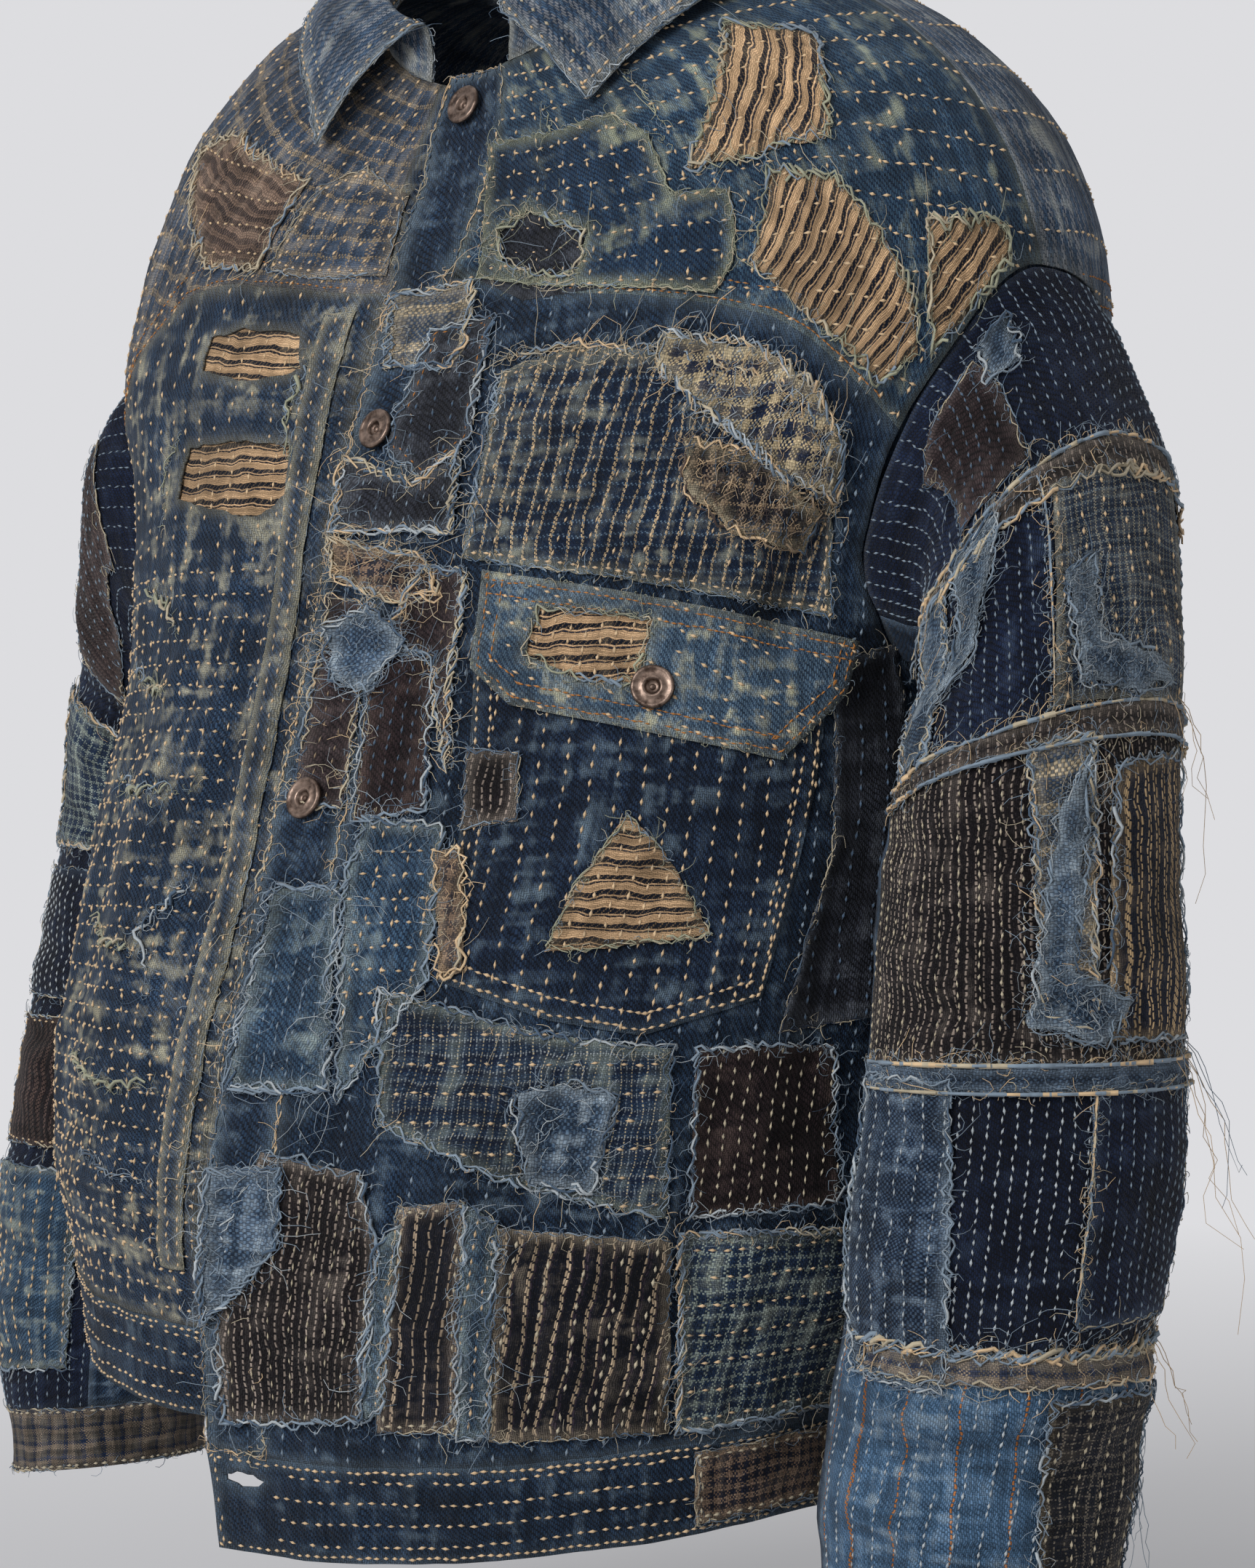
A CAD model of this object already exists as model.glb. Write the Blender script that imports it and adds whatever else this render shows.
"""A patched boro work jacket, worn and hollow, dressed in woven cloth, running stitches and frayed thread.

A place on the cloth is given in flat millimetres, as on the cut. On the body x is the way round from the
centre front towards the wearer's left, 3.2 mm to a degree, and y the height above the hem. On a sleeve x is
the turn in degrees, about a millimetre each, and y the way from the armhole to the cuff. Each form turns flat
places into places in the jacket's frame, so panels, patches, stitches and loose threads share one cloth.
Outlines are written in degrees and heights, or on a sleeve in degrees and shares of its length.
"""

import logging
import math
from dataclasses import dataclass, field, replace
from enum import Enum
from functools import partial

import bpy
import numpy as np
from bpy.types import Material, Mesh, NodeSocket, NodeTree, Object
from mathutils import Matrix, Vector
from mathutils.geometry import delaunay_2d_cdt


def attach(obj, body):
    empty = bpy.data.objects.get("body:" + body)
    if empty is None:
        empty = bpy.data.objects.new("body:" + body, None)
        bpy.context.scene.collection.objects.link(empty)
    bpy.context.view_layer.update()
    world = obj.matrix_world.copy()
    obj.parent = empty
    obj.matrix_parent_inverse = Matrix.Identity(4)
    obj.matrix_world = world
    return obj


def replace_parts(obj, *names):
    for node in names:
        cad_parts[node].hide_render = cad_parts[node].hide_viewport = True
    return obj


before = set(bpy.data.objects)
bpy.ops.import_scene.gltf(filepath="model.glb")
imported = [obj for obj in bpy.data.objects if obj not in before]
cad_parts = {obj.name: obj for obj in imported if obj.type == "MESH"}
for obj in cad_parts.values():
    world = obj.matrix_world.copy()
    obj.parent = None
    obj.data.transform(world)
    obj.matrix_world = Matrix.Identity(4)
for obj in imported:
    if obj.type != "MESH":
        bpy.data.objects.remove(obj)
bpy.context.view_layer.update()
LOG = logging.getLogger("jacket")

Array = np.ndarray
Outline = list[tuple[float, float]]
Table = tuple[tuple[float, ...], ...]

MM = 0.001
UV_MM = 0.01
MM_PER_DEG = 3.2
MM_PER_SHARE = 620.0
NECK_H = 592.0
HEM_BAND = 38.0
CUFF_SHARE = 0.93
SQUARENESS = 2.3
PANEL_THICK = 1.2
PATCH_THICK = 0.8
STITCH_STAND = 0.12
# Raw and torn edges: the step of their points, the bites out of a tear, how far from the edge cloth curls up
# and wears, and how thin it gets there.
RAW_STEP, TEAR_BITES, CURL_REACH, WORN_REACH, THINNEST = 2.6, 1.2, 3.4, 3.0, 0.35
TRIANGLE_ROW = 0.866


def hermite(stops: Array, values: Array, slope: Array, where: Array, *pick: Array) -> Array:
    """Smooth curve of values through stops.

    Args:
        stops: rising places of the values.
        values: one value or row of values for each stop.
        slope: how fast they change at each stop.
        where: places to read.
        pick: which entry of a stop's row each place reads, where they differ.

    Returns:
        The values there.
    """
    i = np.clip(np.searchsorted(stops, where, side="right") - 1, 0, len(stops) - 2)
    width = stops[i + 1] - stops[i]
    t = (where - stops[i]) / width
    if values.ndim > 1:
        t, width = t[..., None], width[..., None]
    here, after = (i, *pick), (i + 1, *pick)
    point = (2 * t**3 - 3 * t**2 + 1) * values[here] + (t**3 - 2 * t**2 + t) * width * slope[here]
    return point + (3 * t**2 - 2 * t**3) * values[after] + (t**3 - t**2) * width * slope[after]


def spline(table: Array, where: Array) -> Array:
    """Smooth curve through a table of stops, each with one or more values, flat outside them."""
    table = np.asarray(table, float)
    stops, values = table[:, 0], table[:, 1] if table.shape[1] == 2 else table[:, 1:]
    where = np.clip(np.asarray(where, float), stops[0], stops[-1])
    return hermite(stops, values, np.gradient(values, stops, axis=0), where)


def unit(vectors: Array) -> Array:
    """The vectors at length one."""
    return vectors / (np.linalg.norm(vectors, axis=-1, keepdims=True) + 1e-12)


def smooth_noise(x: Array, y: Array, size: float, seed: float) -> Array:
    """Smooth waves from -1 to 1 with no pattern.

    Args:
        x: flat places across.
        y: flat places along.
        size: millimetres from one wave to the next.
        seed: a number of its own for each use.

    Returns:
        The noise at each place.
    """
    u, v = x / size + seed * 3.7, y / size - seed * 1.9
    i, j = np.floor(u), np.floor(v)
    s, t = u - i, v - j
    s, t = s * s * (3 - 2 * s), t * t * (3 - 2 * t)

    def corner(a: Array, b: Array) -> Array:
        """The value at one corner of the lattice."""
        return np.mod(np.sin(a * 127.1 + b * 311.7 + seed * 74.7) * 43758.5453, 1.0) * 2 - 1

    low = corner(i, j) * (1 - s) + corner(i + 1, j) * s
    high = corner(i, j + 1) * (1 - s) + corner(i + 1, j + 1) * s
    return low * (1 - t) + high * t


def fold_depth(table: Array, x: Array, y: Array) -> Array:
    """Sum of the folds at a place, each a soft trough or ridge along its line.

    Args:
        table: rows of the two ends, half width and depth, all in flat millimetres.
        x: flat places across.
        y: flat places along.

    Returns:
        How far the cloth stands out at each place.
    """
    total = np.zeros(np.broadcast(x, y).shape)
    for x0, y0, x1, y1, width, depth in table:
        dx, dy = x1 - x0, y1 - y0
        share = np.clip(((x - x0) * dx + (y - y0) * dy) / (dx * dx + dy * dy), 0, 1)
        away = np.hypot(x - x0 - share * dx, y - y0 - share * dy)
        fade = np.sin(np.pi * np.clip(share, 0.03, 0.97)) ** 0.6
        total = total + depth * fade * np.exp(-((away / width) ** 2))
    return total


def inside(points: Array, outline: Array) -> Array:
    """Which flat points lie inside an outline."""
    hit = np.zeros(len(points), bool)
    for (x0, y0), (x1, y1) in zip(outline, np.roll(outline, -1, axis=0)):
        if y0 == y1:
            continue
        crosses = (y0 > points[:, 1]) != (y1 > points[:, 1])
        hit ^= crosses & (points[:, 0] < (x1 - x0) * (points[:, 1] - y0) / (y1 - y0) + x0)
    return hit


def within(points: Array, rings: list[Array]) -> Array:
    """Which flat points lie inside the first outline and in none of the others."""
    found = inside(points, rings[0])
    for ring in rings[1:]:
        found &= ~inside(points, ring)
    return found


def distance_to(points: Array, outline: Array) -> Array:
    """How far each flat point lies from the nearest point of an outline."""
    nearest = np.full(len(points), 1e9)
    for start in range(0, len(points), 2000):
        part = points[start : start + 2000]
        gaps = np.hypot(part[:, None, 0] - outline[None, :, 0], part[:, None, 1] - outline[None, :, 1])
        nearest[start : start + 2000] = gaps.min(axis=1)
    return nearest


def walk(outline: Array, step: float, closed: bool = True) -> Array:
    """Points at an even step along an outline or an open line, corners kept."""
    ends = np.roll(outline, -1, axis=0) if closed else outline[1:]
    runs = []
    for a, b in zip(outline, ends):
        count = max(1, int(np.hypot(*(b - a)) / step + 0.5))
        share = np.arange(count)[:, None] / count
        runs.append(a + (b - a) * share)
    if not closed:
        runs.append(outline[-1:])
    return np.vstack(runs)


def facing(outline: Array) -> Array:
    """Directions out of an outline at each of its points."""
    along = unit(np.roll(outline, -1, axis=0) - np.roll(outline, 1, axis=0))
    x, y = outline[:, 0], outline[:, 1]
    turned = np.stack([along[:, 1], -along[:, 0]], -1)
    return turned * np.sign(np.sum(x * np.roll(y, -1) - y * np.roll(x, -1)))


class Side(Enum):
    """The wearer's side."""

    LEFT = "left"
    RIGHT = "right"


@dataclass(frozen=True)
class ClothForm:
    """A form that the cloth follows, with its waves of wear and washing."""

    scale: tuple[float, float] = (1.0, 1.0)
    flipped: bool = False
    seed: float = 1.0
    waves: tuple[tuple[float, float], ...] = ((62.0, 1.8), (25.0, 1.15), (12.0, 0.6))

    def middle(self, x: Array, y: Array) -> Array:
        """Places in the jacket's frame with no folds, in millimetres."""
        raise NotImplementedError

    def folds(self, x: Array, y: Array) -> Array:
        """How far the folds move the cloth outwards."""
        raise NotImplementedError

    def relief(self, x: Array, y: Array) -> Array:
        """The small waves that stitching and washing leave in the cloth."""
        total = np.zeros(np.broadcast(x, y).shape)
        for number, (size, height) in enumerate(self.waves):
            total = total + height * smooth_noise(x, y, size, self.seed + number)
        return total

    def flat(self, outline: Outline) -> Array:
        """An outline in turns and heights or shares, as flat millimetres."""
        return np.asarray(outline, float) * np.array(self.scale)

    def normal(self, flat: Array) -> Array:
        """Directions out of the cloth at flat places."""
        x, y = flat[:, 0], flat[:, 1]
        across = self.middle(x + 1.5, y) - self.middle(x - 1.5, y)
        ahead = self.middle(x, y + 1.5) - self.middle(x, y - 1.5)
        return unit(np.cross(across, ahead)) * (-1 if self.flipped else 1)

    def place(self, flat: Array, lift: Array | float = 0.0) -> Array:
        """Places in the jacket's frame.

        Args:
            flat: flat places, in millimetres.
            lift: how far out of the cloth they lie.

        Returns:
            The places, in millimetres.
        """
        x, y = flat[:, 0], flat[:, 1]
        out = self.folds(x, y) + self.relief(x, y) + lift
        return self.middle(x, y) + self.normal(flat) * out[:, None]


@dataclass(frozen=True)
class BodyForm(ClothForm):
    """The body, one turned wall from the left front edge round the back to the right front edge."""

    scale: tuple[float, float] = (MM_PER_DEG, 1.0)
    # Columns: height along the cloth, half width, y of the side, of the front and of the back, z of the
    # side, of the front and of the back, pull of the right side, right shoulder raise and widening, turn.
    rings: Table = (
        (0, 174, -42, -196, 95, -604, -616, -606, 52, 0, 0, 2.5),
        (38, 178, -42, -203, 100, -568, -578, -568, 50, 0, 0, 2),
        (90, 190, -38, -209, 116, -518, -526, -518, 38, 0, 0, 1),
        (150, 196, -34, -204, 124, -462, -466, -460, 20, 0, 0, 0),
        (220, 196, -28, -190, 130, -394, -396, -390, 6, 0, 0, -1),
        (291, 194, -22, -170, 134, -325, -325, -320, 0, 0, 0, -2),
        (354, 196, -14, -148, 136, -262, -262, -256, 0, 0, 0, 0),
        (434, 224, -6, -122, 134, -178, -182, -172, 0, 0, 4, 3),
        (470, 240, 0, -110, 131, -130, -147, -128, 0, 4, 12, 4),
        (500, 234, 0, -98, 126, -86, -118, -92, 0, 10, 14, 5),
        (520, 214, 2, -91, 120, -54, -98, -66, 0, 18, 12, 5),
        (540, 186, 4, -84, 110, -28, -78, -40, 0, 23, 8, 5),
        (560, 152, 4, -77, 94, -8, -58, -16, 0, 24, 4, 5),
        (576, 118, 2, -71, 79, 4, -42, -2, 0, 18, 2, 5),
        (592, 84, 0, -66, 64, 12, -26, 8, 0, 8, 0, 5),
    )
    pull_share: tuple[tuple[float, float], ...] = (
        (-30, 0), (0, 0), (60, 0.1), (120, 0.3), (180, 0.6), (240, 0.9), (300, 1.1), (360, 0.85), (390, 0.8),
    )
    tuck: tuple[tuple[float, float], ...] = ((-30, 0), (334, 0), (343, 2.5), (352, 7.0), (390, 7.0))
    # The large folds: from turn, height, to turn, height, half width and depth in millimetres.
    big_folds: Table = (
        (67, 425, 59, 335, 15, -9), (74, 300, 70, 120, 14, -5), (12, 470, 10, 70, 8, -2.5),
        (29, 190, 30, 60, 14, 3), (59, 185, 60, 55, 11, -3), (345, 495, 345, 80, 7, -3.5),
        (330, 400, 335, 120, 16, 4), (318, 380, 322, 110, 14, -4), (150, 440, 155, 80, 24, -6),
        (183, 450, 180, 60, 26, 4), (214, 440, 209, 80, 24, -6), (124, 380, 126, 90, 18, -3),
        (238, 380, 236, 90, 18, -3),
    )
    # Creases and seam ridges on top of them, in the same columns.
    creases: Table = (
        (10, 502, 60, 452, 4.5, 1.3), (8, 493, 58, 440, 4, -1), (60, 452, 76, 420, 4.5, 1.2),
        (348, 511, 312, 498, 4.5, 1.3), (346, 500, 312, 486, 4, -1), (312, 490, 290, 432, 4.5, 1),
        (5, 480, 6, 60, 4, 1.2), (352, 500, 351, 60, 4.5, 2), (346.5, 490, 346.5, 90, 4, -1.6),
        (75, 395, 66, 372, 7, -3), (80, 372, 68, 352, 7, 2.4), (82, 352, 70, 320, 8, -3.2),
        (80, 300, 66, 262, 8, 2.2), (84, 255, 69, 232, 7, -2.4), (83, 215, 66, 190, 8, 2),
        (84, 170, 63, 150, 7, -2), (55, 300, 36, 214, 9, -1.6), (18, 240, 36, 196, 6, 1.6),
        (16, 160, 44, 128, 6, 1.8), (44, 128, 66, 126, 6, -1.8), (8, 128, 34, 96, 7, -1.5),
        (38, 110, 52, 58, 6, 1.4), (0, 300, 12, 262, 6, -1.5), (0, 210, 12, 176, 6, 1.3),
        (338, 380, 322, 330, 8, -2.6), (342, 330, 318, 270, 8, 2.2), (344, 262, 322, 228, 7, -2.2),
        (340, 210, 312, 176, 8, 2), (346, 160, 318, 128, 7, -2), (344, 112, 322, 90, 6, 1.8),
        (300, 420, 292, 330, 10, -3), (305, 320, 296, 210, 11, 2.4), (296, 190, 288, 96, 9, -2.4),
        (100, 330, 112, 220, 10, -2.6), (108, 200, 98, 96, 9, 2), (132, 452, 144, 380, 9, -2),
        (168, 300, 178, 150, 12, -2.2), (196, 260, 188, 110, 12, 2), (228, 452, 216, 372, 9, -2),
        (255, 330, 246, 220, 10, -2.6), (240, 200, 250, 96, 9, 2), (95, 470, 265, 470, 4.5, 1.2),
        (100, 460, 262, 460, 4, -0.9), (40, 556, 84, 520, 9, 1.2), (320, 552, 282, 520, 9, 1.4),
        (150, 560, 210, 556, 10, 1.2), (30, 22, 120, 20, 9, 1), (200, 18, 300, 20, 9, 1),
    )
    # Heights at which a drawn seam gathers the cloth, with the reach and depth of its puckers.
    puckers: tuple[tuple[float, float, float], ...] = ((HEM_BAND, 26.0, 1.5), (505.0, 16.0, 0.6))

    def middle(self, x: Array, y: Array) -> Array:
        """Places in the jacket's frame with no folds, in millimetres."""
        turn = x / MM_PER_DEG
        rows = spline(self.rings, y)
        half, y_mid, y_front, y_back, z_side, z_front, z_back = np.moveaxis(rows[..., :7], -1, 0)
        pull, shoulder, wider, twist = np.moveaxis(rows[..., 7:], -1, 0)
        s, c = np.sin(np.radians(turn)), np.cos(np.radians(turn))
        power = 2 / SQUARENESS
        px = half * np.sign(s) * np.abs(s) ** power
        py = y_mid + (np.where(c > 0, y_front, y_back) - y_mid) * np.abs(c) ** power
        pz = z_side + (np.where(c > 0, z_front, z_back) - z_side) * c * c
        pz = pz + pull * spline(self.pull_share, turn)
        right = np.exp(-(((turn - 272) / 42) ** 2))
        pz, px = pz + shoulder * right, px - wider * right
        angle = np.radians(-twist)
        px, py = px * np.cos(angle) - py * np.sin(angle), px * np.sin(angle) + py * np.cos(angle)
        return np.stack([px, py, pz], -1)

    def folds(self, x: Array, y: Array) -> Array:
        """How far the folds, creases, puckers and the tucked right front move the cloth outwards."""
        table = np.array(self.big_folds + self.creases) * np.array([MM_PER_DEG, 1, MM_PER_DEG, 1, 1, 1])
        out = fold_depth(table, x, y) - spline(self.tuck, x / MM_PER_DEG)
        for height, reach, depth in self.puckers:
            wave = smooth_noise(x, y * 0.12, 8.0, self.seed + height)
            out = out + depth * wave * np.exp(-np.abs(y - height) / reach)
        return out


@dataclass(frozen=True)
class SleeveForm(ClothForm):
    """One sleeve, from its loop in the armhole to the cuff."""

    scale: tuple[float, float] = (1.0, MM_PER_SHARE)
    side: Side = Side.LEFT
    body: BodyForm = field(default_factory=BodyForm)
    armhole: tuple[float, float, float, float] = (338.0, 478.0, 20.0, 30.0)
    room: float = 2.6
    rings: Table = ()
    big_folds: Table = ()
    creases: Table = ()
    loop: tuple[Array, Array] | None = None

    def armhole_at(self, turn: Array, room: float = 0.0) -> Array:
        """Flat places on the body of the armhole, or of a loop inside it, for turns of the sleeve."""
        low, high, front, back = self.armhole
        s, c = np.sin(np.radians(turn)), np.cos(np.radians(turn))
        height = (low + high) / 2 + ((high - low) / 2 - room) * np.sign(c) * np.abs(c) ** 0.9
        swing = (np.where(s > 0, front, back) - room / MM_PER_DEG) * s
        middle = 90 - swing if self.side is Side.LEFT else 270 + swing
        return np.stack([middle * MM_PER_DEG, height], -1)

    def joined(self) -> "SleeveForm":
        """The same form with its armhole loop worked out."""
        where = self.armhole_at(np.arange(0.0, 361.0, 3.0), self.room)
        plain = replace(self.body, waves=())
        return replace(self, loop=(plain.place(where), plain.normal(where)))

    def middle(self, x: Array, y: Array) -> Array:
        """Places in the jacket's frame with no folds, in millimetres."""
        sign = 1 if self.side is Side.LEFT else -1
        turn = np.mod(x, 360.0)
        share = np.clip(y / MM_PER_SHARE, 0.0, 1.02)
        cos, sin = np.cos(np.radians(turn))[..., None], np.sin(np.radians(turn))[..., None]
        stops = np.arange(0.0, 361.0, 3.0)
        start, leave = (
            np.stack([np.interp(turn, stops, table[:, k]) for k in range(3)], -1) for table in self.loop
        )
        shares = np.array([0.0] + [ring[0] for ring in self.rings])
        rows = [start]
        for _, x_out, z_out, x_in, z_in, y_mid, depth in self.rings:
            middle = np.array([sign * (x_out + x_in) / 2, y_mid, (z_out + z_in) / 2])
            outer = np.array([sign * (x_out - x_in) / 2, 0, (z_out - z_in) / 2])
            rows.append(middle + cos * outer + sin * np.array([0, -depth, 0.0]))
        rows = np.stack(rows)
        slope = np.gradient(rows, shares, axis=0)
        slope[0] += leave * (110 - 90 * cos)
        return hermite(shares, rows, slope, share, np.arange(len(share)))

    def folds(self, x: Array, y: Array) -> Array:
        """How far the folds and creases move the cloth outwards."""
        table = np.array(self.big_folds + self.creases) * np.array([1, MM_PER_SHARE, 1, MM_PER_SHARE, 1, 1])
        return fold_depth(table, np.mod(x + 180, 360) - 180, y)


@dataclass(frozen=True)
class CollarForm(ClothForm):
    """The collar, from the neck seam up over its fold and down to the outer edge of the leaf."""

    scale: tuple[float, float] = (1.6, 75.0)
    flipped: bool = True
    body: BodyForm = field(default_factory=BodyForm)
    rise: float = 24.0
    off_body: float = 6.5
    # Columns: turn of the neck place, turn and height on the body over which the outer edge lies.
    edge: tuple[tuple[float, float, float], ...] = (
        (15, 28, 556), (27, 36, 562), (50, 53, 567), (90, 90, 566), (180, 180, 560),
        (270, 270, 566), (310, 307, 567), (333, 324, 562), (345, 332, 556),
    )
    creases: Table = (
        (20, 0.62, 60, 0.9, 6, 1.6), (330, 0.6, 300, 0.88, 6, 1.6), (18, 0.92, 70, 0.94, 3.5, 1),
        (342, 0.92, 290, 0.94, 3.5, 1), (120, 0.8, 150, 0.6, 7, -1.6), (230, 0.62, 260, 0.84, 7, -1.6),
        (60, 0.55, 110, 0.58, 5, 1.2), (80, 0.93, 280, 0.94, 3.5, 1),
    )

    def middle(self, x: Array, y: Array) -> Array:
        """Places in the jacket's frame with no folds, in millimetres."""
        turn, along = x / self.scale[0], np.clip(y / self.scale[1], 0, 1)
        plain = replace(self.body, waves=())
        neck = plain.place(np.stack([turn * MM_PER_DEG, np.full(turn.shape, NECK_H - 0.5)], -1), 1.6)
        edge = plain.place(spline(self.edge, turn) * np.array([MM_PER_DEG, 1.0]), self.off_body)
        out, up = unit(neck * np.array([1, 1, 0])), np.array([0, 0, 1.0])
        crest = neck + up * self.rise + out * 3
        roll = crest + out * 7 - up * 3
        lower = (roll + edge) / 2 + (out + up) * 2.5
        rows = np.stack([neck, (neck + crest) / 2 - out * 1.5, crest, roll, lower, edge])
        stops = np.array([0, 0.2, 0.4, 0.52, 0.76, 1.0])
        return hermite(stops, rows, np.gradient(rows, stops, axis=0), along, np.arange(len(along)))

    def folds(self, x: Array, y: Array) -> Array:
        """How far the creases move the cloth outwards."""
        return fold_depth(np.array(self.creases) * np.array([*self.scale, *self.scale, 1, 1]), x, y)


BODY = BodyForm()
LEFT_SLEEVE = SleeveForm(
    side=Side.LEFT,
    seed=11.0,
    rings=(
        (0.07, 256, -148, 209, -288, 2, 70), (0.14, 282, -198, 207, -300, -10, 67),
        (0.22, 296, -250, 206, -320, -23, 65), (0.34, 310, -332, 206, -352, -42, 62),
        (0.48, 319, -414, 207, -416, -52, 64), (0.6, 319, -476, 206, -474, -58, 65),
        (0.72, 312, -538, 204, -532, -66, 61), (0.87, 305, -612, 202, -600, -74, 57),
        (0.93, 301, -642, 206, -630, -80, 53), (1, 297, -675, 207, -661, -84, 50),
    ),
    big_folds=(
        (70, 0.12, 15, 0.125, 8, -2.5), (100, 0.17, 50, 0.24, 12, -3), (-35, 0.28, 100, 0.275, 8, -3),
        (110, 0.45, 40, 0.46, 9, -3), (115, 0.485, 0, 0.485, 10, 3), (-35, 0.69, 110, 0.69, 8, -4),
        (-45, 0.725, 120, 0.74, 14, 3.5),
    ),
    creases=(
        (96, 0.03, 66, 0.1, 8, -2.2), (120, 0.06, 92, 0.15, 8, 2.2), (128, 0.16, 84, 0.22, 8, -2.6),
        (122, 0.24, 60, 0.3, 7, 2), (126, 0.31, 78, 0.37, 8, -2.2), (40, 0.33, -20, 0.36, 9, 1.4),
        (124, 0.41, 62, 0.44, 7, 2.2), (120, 0.52, 70, 0.56, 8, -2.4), (60, 0.58, 10, 0.6, 8, 1.4),
        (118, 0.62, 74, 0.64, 7, 2), (100, 0.76, 20, 0.79, 9, -2.6), (112, 0.81, 36, 0.84, 9, 2.4),
        (96, 0.87, 30, 0.89, 8, -2.2), (-60, 0.42, -100, 0.46, 9, -2.2), (-70, 0.6, -120, 0.64, 9, 2.2),
        (-80, 0.2, -130, 0.26, 10, -2.4), (-75, 0.78, -120, 0.8, 9, -2.2), (180, 0.44, 230, 0.48, 8, -2),
        (43, 0.13, 43, 0.275, 3.5, 1), (28, 0.5, 28, 0.69, 3.5, 1), (52, 0.28, 52, 0.48, 3.5, 0.8),
    ),
).joined()
RIGHT_SLEEVE = SleeveForm(
    side=Side.RIGHT,
    flipped=True,
    seed=23.0,
    rings=(
        (0.07, 279, -136, 211, -284, 18, 70), (0.14, 293, -184, 210, -294, 21, 67),
        (0.22, 304, -242, 209, -312, 25, 65), (0.34, 320, -322, 210, -338, 24, 62),
        (0.48, 328, -396, 210, -402, 14, 62), (0.6, 326, -456, 212, -458, 0, 60),
        (0.72, 314, -512, 210, -512, -22, 56), (0.87, 297, -578, 205, -570, -40, 51),
        (0.93, 289, -604, 204, -596, -46, 48), (1, 283, -632, 200, -622, -50, 46),
    ),
    big_folds=(
        (55, 0.235, 140, 0.23, 10, -4), (55, 0.29, 150, 0.29, 13, 4), (55, 0.52, 150, 0.52, 10, -4),
        (55, 0.58, 150, 0.58, 13, 3), (50, 0.66, 150, 0.67, 9, -4),
    ),
    creases=(
        (40, 0.1, 110, 0.14, 8, -2.2), (50, 0.18, 120, 0.2, 7, 2.2), (40, 0.34, 116, 0.37, 8, -2.6),
        (60, 0.42, 120, 0.44, 7, 2), (44, 0.47, 110, 0.48, 7, -2.2), (50, 0.56, 118, 0.545, 6, -2.4),
        (46, 0.61, 116, 0.625, 6, 2.2), (40, 0.74, 110, 0.77, 8, -2.6), (50, 0.81, 120, 0.83, 8, 2.4),
        (40, 0.87, 110, 0.88, 7, -2.4), (-40, 0.3, -110, 0.36, 10, -2.4), (-30, 0.52, -110, 0.56, 10, 2.2),
        (-40, 0.74, -120, 0.78, 9, -2.4), (0, 0.46, -60, 0.48, 9, -2), (180, 0.44, 230, 0.48, 8, -2),
    ),
).joined()
COLLAR = CollarForm(seed=37.0, waves=((40.0, 1.0), (16.0, 0.6), (8.0, 0.35)))


Stripes = tuple[tuple[float, str], ...]
RGBA = {"data_type": "RGBA"}
TINT = {"data_type": "RGBA", "blend_type": "MULTIPLY"}


def linear(code: str) -> tuple[float, float, float, float]:
    """An sRGB hex colour as the linear colour that a socket takes."""
    parts = [int(code[i : i + 2], 16) / 255 for i in (0, 2, 4)]
    return (*[p / 12.92 if p <= 0.04045 else ((p + 0.055) / 1.055) ** 2.4 for p in parts], 1.0)


def add_node(tree: NodeTree, kind: str, *values: object, **settings: object) -> NodeSocket:
    """Add a node with its settings and links.

    Args:
        tree: the tree that it joins.
        kind: its type, short for a shader node, with its operation after a point where it has one.
        values: a socket or a constant for each of its inputs in use, in order, or None to leave one.
        settings: properties of the node, or, with a capital letter, inputs by name.

    Returns:
        Its first output in use, or for an output node its first input.
    """
    kind, _, operation = kind.partition(".")
    made = tree.nodes.new(kind if "Node" in kind else "ShaderNode" + kind)
    if operation:
        made.operation = operation
    named = {name: value for name, value in settings.items() if name[0].isupper()}
    for name, value in settings.items():
        if name not in named:
            setattr(made, name, value)
    pairs = list(zip([s for s in made.inputs if s.enabled], values))
    for socket, value in pairs + [(made.inputs[name.replace("_", " ")], named[name]) for name in named]:
        if isinstance(value, NodeSocket):
            tree.links.new(value, socket)
        elif value is not None:
            socket.default_value = value
    return next((s for s in made.outputs if s.enabled), None) or made.inputs[0]


def fresh_material(name: str) -> tuple[Material, partial]:
    """A material with an empty tree, and the way to add a node to it."""
    made = bpy.data.materials.new(name)
    made.use_nodes = True
    made.node_tree.nodes.clear()
    return made, partial(add_node, made.node_tree)


def stepped(add: partial, share: NodeSocket, colours: Stripes) -> NodeSocket:
    """Colours with sharp edges between them, each from its own share on."""
    ramp = add("ValToRGB", share)
    stops = ramp.node.color_ramp
    stops.interpolation = "CONSTANT"
    for index, (start, code) in enumerate(colours):
        stop = stops.elements[index] if index < 2 else stops.elements.new(start)
        stop.position, stop.color = start, linear(code)
    if len(colours) == 1:
        stops.elements.remove(stops.elements[1])
    return ramp


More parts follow.
